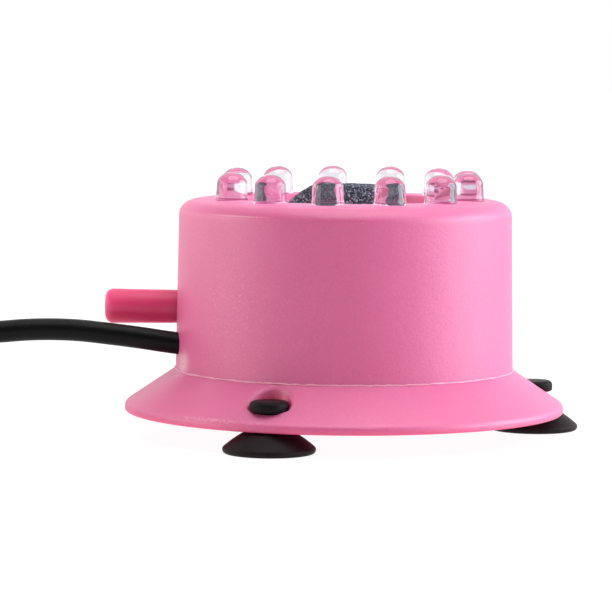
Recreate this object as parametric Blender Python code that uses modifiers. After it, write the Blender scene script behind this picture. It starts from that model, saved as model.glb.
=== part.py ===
"""Submersible aquarium light with a bubble stone, modelled as separate pieces.

Units are metres and +Z is up. The origin is on the drum's axis, on the plane that the
suction cups stand on. The air nipple points along -X, and an angle round the drum is
counted from -Y towards +X.
"""

import math

import bmesh
import bpy
import numpy as np
from mathutils import Matrix, Vector

# Clearances
SEAT_GAP = 0.0003
LED_GAP = 0.0002
CUT_OVER = 0.0010

# Facets round a full turn
DRUM_STEPS = 48
STONE_STEPS = 28
CUP_STEPS = 20
TUBE_STEPS = 16
LED_STEPS = 14
PIN_STEPS = 6
ARC_STEPS = 4

# Drum
SEAM_Z = 0.0101
DRUM_HEIGHT = 0.02715
DRUM_TOP_R = 0.0264
DRUM_DRAFT = 0.0004
DRUM_WALL = 0.0022
TOP_WALL = 0.0030
SHOULDER_ROUND = 0.0031
CROWN_ROUND = 0.0220
RECESS_DEPTH = 0.0016
RECESS_ROUND = 0.0006
RECESS_LAND = 0.0004
INNER_CHAMFER = 0.0008
SPIGOT_WALL = 0.0014

# Base with its conical skirt
SKIRT_WIDTH = 0.0082
SKIRT_WALL = 0.0017
SKIRT_ROUND = 0.0010
RIM_Z = 0.00345
RIM_EDGE = 0.0003
RIM_BAND = 0.00058
RIM_LAND = 0.0014
FLOOR_WALL = 0.0020
SOCKET_WALL = 0.0013
RIB_WALL = 0.0012
RIBS_PER_CUP = 2

# LEDs
LED_PLACES = 13
LED_INSET = 0.0065
LED_D = 0.0050
LED_TIP_D = 0.0048
LED_DOME = 0.0019
LED_LENGTH = 0.0086
LED_FLANGE_D = 0.0058
LED_FLANGE_WALL = 0.0010
LEAD_PITCH = 0.00254
LEAD_SIDE = 0.0005
LEAD_TAIL = 0.0012

# Circuit board
BOARD_DROP = 0.0020
BOARD_WALL = 0.0016
BOARD_EDGE = 0.0006
PIN_HOLE_R = 0.0006
STRING_COUNT = 4
RESISTOR_LENGTH = 0.0032
RESISTOR_WIDTH = 0.0016
RESISTOR_HEIGHT = 0.0006

# Air stone and the chamber that feeds it
STONE_R = 0.0097
STONE_TOP_R = 0.0051
STONE_OUT = 0.00205
STONE_SHANK = 0.0037
STONE_BULGE = 0.00035
CHAMBER_WALL = 0.0015
CHAMBER_FLANGE = 0.0014
CHAMBER_FLANGE_WALL = 0.0013
CHAMBER_LEDGE = 0.0018
CHAMBER_SUMP = 0.0035
PORT_WALL = 0.0014
PORT_LENGTH = 0.0042

# Air nipple
NIPPLE_RISE = 0.0096
NIPPLE_OUT = 0.0113
NIPPLE_D = 0.0053
NIPPLE_TIP_D = 0.0055
NIPPLE_BORE = 0.0026
NIPPLE_ROUND = 0.0009

# Resin plug
RESIN_CLEAR = 0.0004

# Suction cups
CUP_ANGLES = (math.radians(-20.5), math.radians(99.5), math.radians(219.5))
CUP_INSET = 0.0042
CUP_R = 0.0071
CUP_HUB_R = 0.0037
CUP_RIM = 0.0006
CUP_FOOT = 0.0007
CUP_FOOT_EDGE = 0.0003
CUP_DISH = 0.0017
CUP_DISH_BULGE = 0.0003
CUP_NECK_R = 0.0018
CUP_HEAD_R = 0.0030
CUP_HEAD_HEIGHT = 0.0017
CUP_HEAD_EDGE = 0.0005
POCKET_GAP = 0.0003
POCKET_WALL = 0.0012
BOSS_HEIGHT = 0.0025

# Cable: its route outside the drum, from the hole to the coil
CABLE_D = 0.0035
CABLE_STUB = 0.0042
CABLE_STOP_WALL = 0.0012
CABLE_STOP_LENGTH = 0.0020
LEAD_ROUTE = (
    (-0.0248, -0.0050, 0.0142),
    (-0.0280, -0.0050, 0.0145),
    (-0.0320, -0.0050, 0.01506),
    (-0.0370, -0.0050, 0.01566),
    (-0.0420, -0.0050, 0.01616),
    (-0.0465, -0.0050, 0.01628),
    (-0.0505, -0.0050, 0.01614),
    (-0.0545, -0.0050, 0.01580),
    (-0.0600, -0.0050, 0.01545),
    (-0.0680, -0.0050, 0.01510),
    (-0.0780, -0.0050, 0.0149),
)
ROUTE_STEPS = 2
LEAD_SQUARE = 0.0080

# Coil of the spare cable
COIL_X = -0.0955
COIL_INNER_R = 0.0140
COIL_PITCH = 0.0040
COIL_TURNS = 10.75
COIL_LAYERS = 4
COIL_STEPS = 24
COIL_FLOOR = 0.0012
LEAST_COIL_GAP = 0.0004

# Tie round the coil
TIE_ANGLE = math.radians(75.0)
TIE_WALL = 0.0007
TIE_WIDTH = 0.0035
TIE_SLACK = 0.0005
TIE_ROUND = 0.0016
TIE_REACH = math.radians(14.0)

# Barrel plug
PLUG_R = 0.0047
PLUG_GRIP = 0.0150
PLUG_EDGE = 0.0006
PLUG_RELIEF = 0.0090
PLUG_RELIEF_R = 0.0033
PLUG_TAIL_R = 0.0026
PLUG_RIBS = 3
PLUG_GROOVE = 0.0005
SLEEVE_D = 0.0055
SLEEVE_WALL = 0.0007
SLEEVE_LENGTH = 0.0095
INSULATOR_BORE = 0.0021
TAIL_RUN = 0.0170

# Supply wires
WIRE_D = 0.0011
WIRE_SPREAD = 0.0016
WIRE_BEND = 0.0026
WIRE_CLEAR = 0.0004
WIRE_STEPS = 4

# Sizes that follow from the ones above
TOP_Z = SEAM_Z + DRUM_HEIGHT
DRUM_SEAM_R = DRUM_TOP_R + DRUM_DRAFT
DRUM_INNER_R = DRUM_TOP_R - DRUM_WALL
CEILING_Z = TOP_Z - TOP_WALL
RECESS_Z = TOP_Z - RECESS_DEPTH
SPIGOT_R = DRUM_INNER_R + SPIGOT_WALL
SOCKET_R = SPIGOT_R + SEAT_GAP
SKIRT_R = DRUM_SEAM_R + SKIRT_WIDTH
ROUND_R = SKIRT_R - SKIRT_ROUND
ROUND_Z = RIM_Z + RIM_EDGE + RIM_BAND
SKIRT_CHORD = math.hypot(ROUND_R - DRUM_SEAM_R, SEAM_Z - ROUND_Z)
SKIRT_SLOPE = math.atan2(SEAM_Z - ROUND_Z, ROUND_R - DRUM_SEAM_R) - math.asin(SKIRT_ROUND / SKIRT_CHORD)
FLOOR_Z = RIM_Z + FLOOR_WALL
SPIGOT_Z = FLOOR_Z + SEAT_GAP
LED_RING_R = DRUM_TOP_R - LED_INSET
RECESS_R = LED_RING_R - LED_D / 2 - RECESS_LAND
LED_SEAT_Z = CEILING_Z - SEAT_GAP
LED_BASE_Z = LED_SEAT_Z - LED_FLANGE_WALL
BOARD_TOP_Z = LED_BASE_Z - BOARD_DROP
BOARD_BOTTOM_Z = BOARD_TOP_Z - BOARD_WALL
STONE_HOLE_R = STONE_R + SEAT_GAP
STONE_BASE_Z = RECESS_Z - STONE_SHANK
CHAMBER_R = STONE_HOLE_R + CHAMBER_WALL
LEDGE_Z = STONE_BASE_Z - SEAT_GAP
CAVITY_R = STONE_HOLE_R - CHAMBER_LEDGE
NIPPLE_Z = SEAM_Z + NIPPLE_RISE
PORT_R = NIPPLE_D / 2 + SEAT_GAP + PORT_WALL
CUP_RING_R = SKIRT_R - CUP_INSET
POCKET_Z = RIM_Z + BOSS_HEIGHT
POCKET_R = CUP_HEAD_R + POCKET_GAP
CABLE_R = CABLE_D / 2
CABLE_STOP_R = CABLE_R + SEAT_GAP + CABLE_STOP_WALL
CABLE_Y = LEAD_ROUTE[0][1]
CABLE_Z = LEAD_ROUTE[0][2]
COIL_LAYER_TURNS = COIL_TURNS / COIL_LAYERS
COIL_OUTER_R = COIL_INNER_R + COIL_PITCH * COIL_LAYER_TURNS
COIL_Y = CABLE_Y + COIL_OUTER_R
COIL_BASE_Z = COIL_FLOOR + CABLE_R
COIL_TOP_Z = COIL_BASE_Z + COIL_PITCH * (COIL_LAYERS - 1)

# Everything in an earlier scene goes, and the two collections start empty
for old_object in list(bpy.data.objects):
    bpy.data.objects.remove(old_object)
PARTS = bpy.data.collections.new("aquarium_bubble_light")
CUTTERS = bpy.data.collections.new("cutters")
bpy.context.scene.collection.children.link(PARTS)
bpy.context.scene.collection.children.link(CUTTERS)
BASE_POINT = bpy.data.objects.new("standing_point", None)
PARTS.objects.link(BASE_POINT)


# Finishes
def finish(name, colour, roughness, metallic=0.0, alpha=1.0):
    material = bpy.data.materials.new(name)
    material.use_nodes = True
    shader = material.node_tree.nodes["Principled BSDF"]
    shader.inputs["Base Color"].default_value = (*colour, 1.0)
    shader.inputs["Roughness"].default_value = roughness
    shader.inputs["Metallic"].default_value = metallic
    shader.inputs["Alpha"].default_value = alpha
    return material


PINK_MATT = finish("pink_matt_plastic", (0.75, 0.17, 0.36), 0.45)
PINK_SMOOTH = finish("pink_smooth_plastic", (0.61, 0.06, 0.16), 0.30)
CHAMBER_WHITE = finish("chamber_plastic", (0.80, 0.78, 0.74), 0.50)
STONE_GREY = finish("sintered_stone", (0.16, 0.17, 0.21), 0.90)
CLEAR_EPOXY = finish("clear_epoxy", (0.90, 0.88, 0.92), 0.05, alpha=0.35)
BOARD_GREEN = finish("board_laminate", (0.03, 0.20, 0.09), 0.45)
RESISTOR_BLACK = finish("resistor_body", (0.02, 0.02, 0.02), 0.50)
WIRE_RED = finish("red_insulation", (0.45, 0.02, 0.02), 0.45)
WIRE_BLACK = finish("black_insulation", (0.012, 0.012, 0.013), 0.45)
RESIN_AMBER = finish("potting_resin", (0.30, 0.22, 0.12), 0.35)
RUBBER_BLACK = finish("black_rubber", (0.020, 0.018, 0.020), 0.55)
CABLE_BLACK = finish("black_cable", (0.010, 0.010, 0.011), 0.50)
PLUG_NICKEL = finish("nickel_sleeve", (0.75, 0.72, 0.66), 0.25, metallic=1.0)


# Modelling helpers
def ring_point(radius, angle, height=0.0):
    return Vector((radius * math.sin(angle), -radius * math.cos(angle), height))


def arc(centre_r, centre_z, radius, start, end, steps=ARC_STEPS):
    """Points of a profile from one angle to another, both ends included."""
    angles = [start + (end - start) * i / steps for i in range(steps + 1)]
    return [(centre_r + radius * math.cos(a), centre_z + radius * math.sin(a)) for a in angles]


def bulged(first, last, bulge, steps=ARC_STEPS):
    """Points of a parabolic bow between two profile points, without the first one."""
    chord = (Vector(last) - Vector(first)).normalized()
    outward = Vector((-chord.y, chord.x))
    points = []
    for i in range(1, steps + 1):
        share = i / steps
        height = 4.0 * bulge * share * (1.0 - share)
        points.append(tuple(Vector(first).lerp(Vector(last), share) + outward * height))
    return points


def skirt_height(radius):
    """Height of the skirt's outer slope over a radius."""
    return SEAM_Z - (radius - DRUM_SEAM_R) * math.tan(SKIRT_SLOPE)


def place(name, data, material, location=(0.0, 0.0, 0.0), rotation=(0.0, 0.0, 0.0)):
    data.materials.append(material)
    part = bpy.data.objects.new(name, data)
    part.location = location
    part.rotation_euler = rotation
    part.parent = BASE_POINT
    PARTS.objects.link(part)
    return part


def guide(name, data, location=(0.0, 0.0, 0.0), rotation=(0.0, 0.0, 0.0)):
    cutter = bpy.data.objects.new(name, data)
    cutter.location = location
    cutter.rotation_euler = rotation
    cutter.hide_render = True
    cutter.display_type = "WIRE"
    CUTTERS.objects.link(cutter)
    return cutter


def profile_mesh(name, points, ring):
    """Profile in the XZ plane; a ring's profile closes on itself."""
    edges = [(i, i + 1) for i in range(len(points) - 1)]
    if ring:
        edges.append((len(points) - 1, 0))
    mesh = bpy.data.meshes.new(name)
    mesh.from_pydata([(r, 0.0, z) for r, z in points], edges, [])
    return mesh


def turn(part, steps):
    screw = part.modifiers.new("turn", "SCREW")
    screw.steps = steps
    screw.render_steps = steps
    screw.use_merge_vertices = True
    screw.merge_threshold = 0.00001
    return part


def boolean(part, other, operation="DIFFERENCE"):
    modifier = part.modifiers.new(other.name, "BOOLEAN")
    modifier.operation = operation
    modifier.solver = "EXACT"
    modifier.object = other
    return part


def rods_mesh(name, rods, sides):
    """Separate round rods, each given as centre, direction, radius and length."""
    shape = bmesh.new()
    for centre, direction, radius, length in rods:
        tilt = Vector((0.0, 0.0, 1.0)).rotation_difference(Vector(direction))
        pose = Matrix.Translation(centre) @ tilt.to_matrix().to_4x4()
        bmesh.ops.create_cone(shape, cap_ends=True, segments=sides, radius1=radius,
                              radius2=radius, depth=length, matrix=pose)
    mesh = bpy.data.meshes.new(name)
    shape.to_mesh(mesh)
    shape.free()
    return mesh


def blocks_mesh(name, blocks):
    """Separate blocks, each given as centre, angle round the drum and size along it."""
    shape = bmesh.new()
    for centre, angle, size in blocks:
        pose = Matrix.Translation(centre) @ Matrix.Rotation(angle, 4, "Z")
        bmesh.ops.create_cube(shape, size=1.0, matrix=pose @ Matrix.Diagonal((*size, 1.0)))
    mesh = bpy.data.meshes.new(name)
    shape.to_mesh(mesh)
    shape.free()
    return mesh


def smooth_route(knots, steps):
    """Points of a smooth curve through the knots, with the given steps between them."""
    ends = [2 * knots[0] - knots[1], *knots, 2 * knots[-1] - knots[-2]]
    points = []
    for i in range(len(knots) - 1):
        before, start, end, after = ends[i:i + 4]
        for step in range(steps):
            t = step / steps
            pull = (end - before) * t
            bend = (2 * before - 5 * start + 4 * end - after) * t ** 2
            swing = (3 * start - before - 3 * end + after) * t ** 3
            points.append(start + 0.5 * (pull + bend + swing))
    return [*points, knots[-1]]


def tube(name, points, diameter, resolution, material):
    curve = bpy.data.curves.new(name, "CURVE")
    curve.dimensions = "3D"
    curve.bevel_depth = diameter / 2
    curve.bevel_resolution = resolution
    curve.use_fill_caps = True
    spline = curve.splines.new("POLY")
    spline.points.add(len(points) - 1)
    for knot, point in zip(spline.points, points):
        knot.co = (*point, 1.0)
    return place(name, curve, material)


def led_angle(place_number):
    """The places start above the nipple, which is the one that stays free."""
    return -math.pi / 2 + 2 * math.pi * place_number / LED_PLACES


LED_ANGLES = [led_angle(number) for number in range(1, LED_PLACES)]


# Upper housing: turned shell with a spigot, then the holes through it
def crown_height(radius):
    rise = math.sqrt(CROWN_ROUND ** 2 - (radius - LED_RING_R) ** 2)
    return TOP_Z - CROWN_ROUND + rise


def upper_housing():
    edge = min(RECESS_ROUND, 0.35 * RECESS_DEPTH)
    lean = math.asin((DRUM_TOP_R - SHOULDER_ROUND - LED_RING_R) / (CROWN_ROUND - SHOULDER_ROUND))
    crest_start = RECESS_R + edge
    crest_end = LED_RING_R + CROWN_ROUND * math.sin(lean)
    shoulder_r = DRUM_TOP_R - SHOULDER_ROUND
    shoulder_z = crown_height(crest_end) - SHOULDER_ROUND * math.cos(lean)
    quarter = math.pi / 2
    profile = [(STONE_HOLE_R, RECESS_Z)]
    profile += arc(RECESS_R - edge, RECESS_Z + edge, edge, -quarter, 0.0, 2)
    profile += arc(crest_start, crown_height(crest_start) - edge, edge, math.pi, quarter, 2)
    for i in range(1, ARC_STEPS):
        radius = crest_start + (crest_end - crest_start) * i / ARC_STEPS
        profile.append((radius, crown_height(radius)))
    profile += arc(shoulder_r, shoulder_z, SHOULDER_ROUND, quarter - lean, 0.0, ARC_STEPS + 1)
    profile += [
        (DRUM_SEAM_R, SEAM_Z + SEAT_GAP / 2),
        (SPIGOT_R, SEAM_Z + SEAT_GAP / 2),
        (SPIGOT_R, SPIGOT_Z),
        (DRUM_INNER_R, SPIGOT_Z),
        (DRUM_INNER_R, CEILING_Z - INNER_CHAMFER),
        (DRUM_INNER_R - INNER_CHAMFER, CEILING_Z),
        (STONE_HOLE_R, CEILING_Z),
    ]
    housing = place("upper_housing", profile_mesh("upper_housing", profile, True), PINK_MATT)
    turn(housing, DRUM_STEPS)
    up = (0.0, 0.0, 1.0)
    hole_length = 2 * (TOP_WALL + CUT_OVER)
    holes = [(ring_point(LED_RING_R, a, TOP_Z), up, LED_D / 2 + LED_GAP, hole_length)
             for a in LED_ANGLES]
    boolean(housing, guide("led_holes", rods_mesh("led_holes", holes, LED_STEPS)))
    wall_x = -(DRUM_INNER_R + DRUM_SEAM_R) / 2
    side = (1.0, 0.0, 0.0)
    reach = 2 * DRUM_WALL + 4 * CUT_OVER
    side_holes = [
        (Vector((wall_x, 0.0, NIPPLE_Z)), side, NIPPLE_D / 2 + SEAT_GAP, reach),
        (Vector((wall_x, CABLE_Y, CABLE_Z)), side, CABLE_R + SEAT_GAP, reach),
    ]
    boolean(housing, guide("side_holes", rods_mesh("side_holes", side_holes, TUBE_STEPS)))


# Base: floor and skirt turned as one, cored from below between bosses and ribs
def base_skirt():
    seam_z = SEAM_Z - SEAT_GAP / 2
    slope_start = DRUM_SEAM_R + SEAT_GAP / 2 / math.tan(SKIRT_SLOPE)
    profile = [(0.0, FLOOR_Z), (SOCKET_R, FLOOR_Z), (SOCKET_R, seam_z), (slope_start, seam_z)]
    profile += arc(ROUND_R, ROUND_Z, SKIRT_ROUND, math.pi / 2 - SKIRT_SLOPE, 0.0)
    profile += [
        (SKIRT_R, RIM_Z + RIM_EDGE),
        (SKIRT_R - RIM_EDGE, RIM_Z),
        (0.0, RIM_Z),
    ]
    base = place("base_skirt", profile_mesh("base_skirt", profile, False), PINK_MATT)
    turn(base, DRUM_STEPS)

    core_in = SOCKET_R + SOCKET_WALL
    core_out = SKIRT_R - RIM_LAND
    drop = SKIRT_WALL / math.cos(SKIRT_SLOPE)
    core_floor = RIM_Z - CUT_OVER
    core_profile = [
        (core_in, skirt_height(core_in) - drop),
        (core_out, max(skirt_height(core_out) - drop, RIM_Z + RIM_EDGE)),
        (core_out, core_floor),
        (core_in, core_floor),
    ]
    core = turn(guide("skirt_core", profile_mesh("skirt_core", core_profile, True)), DRUM_STEPS)
    boss_r = POCKET_R + POCKET_WALL
    up = (0.0, 0.0, 1.0)
    bosses = [(ring_point(CUP_RING_R, a, RIM_Z), up, boss_r, 2 * DRUM_HEIGHT)
              for a in CUP_ANGLES]
    boolean(core, guide("cup_bosses", rods_mesh("cup_bosses", bosses, CUP_STEPS)))
    rib_step = (CUP_ANGLES[1] - CUP_ANGLES[0]) / (RIBS_PER_CUP + 1)
    rib_size = (RIB_WALL, SKIRT_WIDTH + SOCKET_WALL, 2 * DRUM_HEIGHT)
    ribs = []
    for cup_angle in CUP_ANGLES:
        for number in range(1, RIBS_PER_CUP + 1):
            angle = cup_angle + number * rib_step
            ribs.append((ring_point((core_in + core_out) / 2, angle, RIM_Z), angle, rib_size))
    boolean(core, guide("skirt_ribs", blocks_mesh("skirt_ribs", ribs)))
    boolean(base, core)

    stem_r = CUP_NECK_R + SEAT_GAP
    pocket = [
        (0.0, SEAM_Z + CUT_OVER),
        (POCKET_R, SEAM_Z + CUT_OVER),
        (POCKET_R, POCKET_Z),
        (stem_r, POCKET_Z),
        (stem_r, RIM_Z - CUT_OVER),
        (0.0, RIM_Z - CUT_OVER),
    ]
    for number, angle in enumerate(CUP_ANGLES, 1):
        name = f"cup_pocket_{number}"
        cutter = guide(name, profile_mesh(name, pocket, False), ring_point(CUP_RING_R, angle))
        boolean(base, turn(cutter, CUP_STEPS))


# Suction cup: dish, neck and mushroom head in one turned piece of rubber
def suction_cups():
    hub_z = RIM_Z - SEAT_GAP
    head_z = POCKET_Z + SEAT_GAP
    head_top = head_z + CUP_HEAD_HEIGHT
    foot_in = CUP_R - CUP_FOOT_EDGE - CUP_FOOT
    profile = [(0.0, head_top)]
    profile += arc(CUP_HEAD_R - CUP_HEAD_EDGE, head_top - CUP_HEAD_EDGE, CUP_HEAD_EDGE,
                   math.pi / 2, 0.0, 2)
    profile += [
        (CUP_HEAD_R, head_z),
        (CUP_NECK_R, head_z),
        (CUP_NECK_R, hub_z),
        (CUP_HUB_R, hub_z),
        (CUP_R, CUP_RIM),
        (CUP_R - CUP_FOOT_EDGE / 3, CUP_FOOT_EDGE / 2),
        (CUP_R - CUP_FOOT_EDGE, 0.0),
        (foot_in, 0.0),
    ]
    profile += bulged((foot_in, 0.0), (0.0, CUP_DISH), -CUP_DISH_BULGE)
    for number, angle in enumerate(CUP_ANGLES, 1):
        name = f"suction_cup_{number}"
        cup = place(name, profile_mesh(name, profile, False), RUBBER_BLACK, ring_point(CUP_RING_R, angle))
        turn(cup, CUP_STEPS)


# LEDs with their legs, board and resistors
def leds():
    tip_r = LED_TIP_D / 2
    out = LED_LENGTH - LED_FLANGE_WALL - SEAT_GAP - TOP_WALL
    seat = LED_SEAT_Z - TOP_Z
    base = LED_BASE_Z - TOP_Z
    quarter_round = arc(0.0, 0.0, 1.0, math.pi / 2, 0.0)
    profile = [(across * tip_r, out - LED_DOME + rise * LED_DOME) for across, rise in quarter_round]
    profile[0] = (0.0, out)
    profile += [
        (LED_D / 2, 0.0),
        (LED_D / 2, seat),
        (LED_FLANGE_D / 2, seat),
        (LED_FLANGE_D / 2, base),
        (0.0, base),
    ]
    leg_top = base + LED_FLANGE_WALL / 2
    leg_bottom = BOARD_BOTTOM_Z - LEAD_TAIL - TOP_Z
    leg_size = (LEAD_SIDE, LEAD_SIDE, leg_top - leg_bottom)
    leg_middle = (leg_top + leg_bottom) / 2
    legs = [(Vector((side * LEAD_PITCH, 0.0, leg_middle)), 0.0, leg_size) for side in (-0.5, 0.5)]
    for number, angle in enumerate(LED_ANGLES, 1):
        name = f"led_{number:02d}"
        spot = ring_point(LED_RING_R, angle, TOP_Z)
        twist = (0.0, 0.0, angle)
        led = place(name, profile_mesh(name, profile, False), CLEAR_EPOXY, spot, twist)
        turn(led, LED_STEPS)
        boolean(led, guide(f"{name}_legs", blocks_mesh(f"{name}_legs", legs), spot, twist), "UNION")


def lead_points():
    """Where each LED leg passes through the board."""
    points = []
    for angle in LED_ANGLES:
        along = Vector((math.cos(angle), math.sin(angle), 0.0))
        for side in (-0.5, 0.5):
            points.append(ring_point(LED_RING_R, angle) + along * side * LEAD_PITCH)
    return points


def led_board():
    board_in = CHAMBER_R + BOARD_EDGE
    board_out = DRUM_INNER_R - BOARD_EDGE
    profile = [
        (board_out, BOARD_TOP_Z),
        (board_out, BOARD_BOTTOM_Z),
        (board_in, BOARD_BOTTOM_Z),
        (board_in, BOARD_TOP_Z),
    ]
    board = place("led_board", profile_mesh("led_board", profile, True), BOARD_GREEN)
    turn(board, DRUM_STEPS)
    up = Vector((0.0, 0.0, 1.0))
    middle = up * (BOARD_TOP_Z + BOARD_BOTTOM_Z) / 2
    holes = [(point + middle, up, PIN_HOLE_R, BOARD_WALL + 2 * CUT_OVER) for point in lead_points()]
    boolean(board, guide("pin_holes", rods_mesh("pin_holes", holes, PIN_STEPS)))

    resistor_r = board_in + RESISTOR_WIDTH
    resistor_z = BOARD_BOTTOM_Z - SEAT_GAP - RESISTOR_HEIGHT / 2
    resistor_size = (RESISTOR_LENGTH, RESISTOR_WIDTH, RESISTOR_HEIGHT)
    per_string = len(LED_ANGLES) // STRING_COUNT
    middles = [LED_ANGLES[per_string * i + per_string // 2] for i in range(STRING_COUNT)]
    for number, angle in enumerate(middles, 1):
        name = f"resistor_{number}"
        chip = blocks_mesh(name, [(Vector(), 0.0, resistor_size)])
        place(name, chip, RESISTOR_BLACK, ring_point(resistor_r, angle, resistor_z), (0.0, 0.0, angle))


# Air path: stone, chamber under it and the nipple that feeds the chamber
def air_stone():
    stone_top = TOP_Z + STONE_OUT
    profile = [(0.0, stone_top), (STONE_TOP_R, stone_top)]
    profile += bulged((STONE_TOP_R, stone_top), (STONE_R, RECESS_Z), STONE_BULGE)
    profile += [(STONE_R, STONE_BASE_Z), (0.0, STONE_BASE_Z)]
    turn(place("air_stone", profile_mesh("air_stone", profile, False), STONE_GREY), STONE_STEPS)


def port_stop():
    """X of the shoulder in the chamber's port that the nipple's inner end meets."""
    return -(CAVITY_R + CHAMBER_WALL)


def air_chamber():
    flange_top = CEILING_Z - SEAT_GAP
    flange_r = CHAMBER_R + CHAMBER_FLANGE
    sump_z = NIPPLE_Z - PORT_R - CHAMBER_SUMP + CHAMBER_WALL
    body_r = CAVITY_R + CHAMBER_WALL
    neck_z = LEDGE_Z - CHAMBER_WALL
    profile = [
        (0.0, flange_top),
        (flange_r, flange_top),
        (flange_r, flange_top - CHAMBER_FLANGE_WALL),
        (CHAMBER_R, flange_top - CHAMBER_FLANGE_WALL),
        (CHAMBER_R, neck_z),
        (body_r, neck_z - CHAMBER_WALL),
        (body_r, sump_z),
        (0.0, sump_z),
    ]
    chamber = place("air_chamber", profile_mesh("air_chamber", profile, False), CHAMBER_WHITE)
    turn(chamber, STONE_STEPS)
    port_in = CAVITY_R * math.cos(math.pi / STONE_STEPS) - CHAMBER_WALL
    port_out = body_r + PORT_LENGTH
    port_middle = Vector((-(port_in + port_out) / 2, 0.0, NIPPLE_Z))
    port = [(port_middle, (1.0, 0.0, 0.0), PORT_R, port_out - port_in)]
    boolean(chamber, guide("chamber_port", rods_mesh("chamber_port", port, TUBE_STEPS)), "UNION")
    cavity = [
        (0.0, flange_top + CUT_OVER),
        (STONE_HOLE_R, flange_top + CUT_OVER),
        (STONE_HOLE_R, LEDGE_Z),
        (CAVITY_R, LEDGE_Z),
        (CAVITY_R, sump_z + CHAMBER_WALL),
        (0.0, sump_z + CHAMBER_WALL),
    ]
    hollow = guide("chamber_cavity", profile_mesh("chamber_cavity", cavity, False))
    boolean(chamber, turn(hollow, STONE_STEPS))
    bore_r = NIPPLE_D / 2 + SEAT_GAP
    bore = [
        (0.0, port_out + CUT_OVER),
        (bore_r, port_out + CUT_OVER),
        (bore_r, -port_stop()),
        (NIPPLE_BORE / 2, -port_stop()),
        (NIPPLE_BORE / 2, CAVITY_R - CUT_OVER),
        (0.0, CAVITY_R - CUT_OVER),
    ]
    cutter = guide("port_bore", profile_mesh("port_bore", bore, False),
                   (0.0, 0.0, NIPPLE_Z), (0.0, -math.pi / 2, 0.0))
    boolean(chamber, turn(cutter, TUBE_STEPS))


def air_nipple():
    inner_end = SEAT_GAP - port_stop()
    wall_end = DRUM_SEAM_R
    tip = DRUM_SEAM_R + NIPPLE_OUT
    root_r = NIPPLE_D / 2
    tip_r = NIPPLE_TIP_D / 2
    bore_r = NIPPLE_BORE / 2
    profile = arc(tip_r - NIPPLE_ROUND, tip - NIPPLE_ROUND, NIPPLE_ROUND, math.pi / 2, 0.0)
    profile += [(root_r, wall_end), (root_r, inner_end), (bore_r, inner_end), (bore_r, tip)]
    nipple = place("air_nipple", profile_mesh("air_nipple", profile, True), PINK_SMOOTH,
                   (0.0, 0.0, NIPPLE_Z), (0.0, -math.pi / 2, 0.0))
    turn(nipple, TUBE_STEPS)


# Resin that closes the bottom of the drum
def potting_resin():
    resin_r = DRUM_INNER_R - SEAT_GAP
    top = CABLE_Z - CABLE_STOP_R - RESIN_CLEAR
    profile = [(0.0, top), (resin_r, top), (resin_r, SPIGOT_Z), (0.0, SPIGOT_Z)]
    turn(place("potting_resin", profile_mesh("potting_resin", profile, False), RESIN_AMBER), DRUM_STEPS)


# Cable inside the drum: the stop ring on its stub and the two wires up to the board
def stop_face():
    """X of the stop ring's face beside the drum's inner wall."""
    reach = abs(CABLE_Y) + CABLE_STOP_R
    return SEAT_GAP - math.sqrt(DRUM_INNER_R ** 2 - reach ** 2)


def cable_inner_end():
    return stop_face() + CABLE_STUB


def cable_stop():
    bore_r = CABLE_R + SEAT_GAP
    half = CABLE_STOP_LENGTH / 2
    profile = [(CABLE_STOP_R, half), (CABLE_STOP_R, -half), (bore_r, -half), (bore_r, half)]
    stop = place("cable_stop", profile_mesh("cable_stop", profile, True), RUBBER_BLACK,
                 (stop_face() + half, CABLE_Y, CABLE_Z), (0.0, -math.pi / 2, 0.0))
    turn(stop, TUBE_STEPS)


def supply_wires():
    start_x = cable_inner_end() + SEAT_GAP
    end_z = BOARD_BOTTOM_Z - SEAT_GAP
    beside_port = -(PORT_R + WIRE_CLEAR + WIRE_D / 2 + WIRE_SPREAD / 2)
    for name, side, material in (("positive", 0.5, WIRE_RED), ("negative", -0.5, WIRE_BLACK)):
        y = CABLE_Y + side * WIRE_SPREAD
        riser = Vector((start_x + WIRE_BEND, beside_port + side * WIRE_SPREAD, CABLE_Z))
        knots = [
            Vector((start_x, y, CABLE_Z)),
            Vector((riser.x - WIRE_BEND / 4, (y + riser.y) / 2, CABLE_Z + WIRE_BEND / 4)),
            riser + Vector((0.0, 0.0, WIRE_BEND)),
            Vector((riser.x, riser.y, (CABLE_Z + end_z) / 2)),
            Vector((riser.x, riser.y, end_z - WIRE_BEND)),
            Vector((riser.x, riser.y, end_z)),
        ]
        tube(f"supply_wire_{name}", smooth_route(knots, WIRE_STEPS), WIRE_D, 2, material)


# Free cable: lead, coil, tail
def coil_points():
    """Layers that spiral in and out by turns and drop a layer in the half turn between."""
    count = round(COIL_TURNS * COIL_STEPS)
    points = [Vector((COIL_X + CABLE_D, CABLE_Y, COIL_TOP_Z))]
    for i in range(count + 1):
        turns = i / COIL_STEPS
        layer = min(turns / COIL_LAYER_TURNS, COIL_LAYERS)
        swing = abs((layer + 1.0) % 2.0 - 1.0)
        radius = COIL_OUTER_R - (COIL_OUTER_R - COIL_INNER_R) * swing
        drop = 0.0
        for change in range(1, COIL_LAYERS):
            share = 2.0 * (turns - change * COIL_LAYER_TURNS) + 0.5
            share = min(max(share, 0.0), 1.0)
            drop += share * share * (3.0 - 2.0 * share)
        angle = -math.pi / 2 - 2.0 * math.pi * turns
        points.append(Vector((COIL_X + radius * math.cos(angle), COIL_Y + radius * math.sin(angle),
                              COIL_TOP_Z - drop * COIL_PITCH)))
    heading = Vector((math.sin(angle), -math.cos(angle), 0.0))
    points.append(points[-1] + heading * CABLE_D)
    return points, heading


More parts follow.
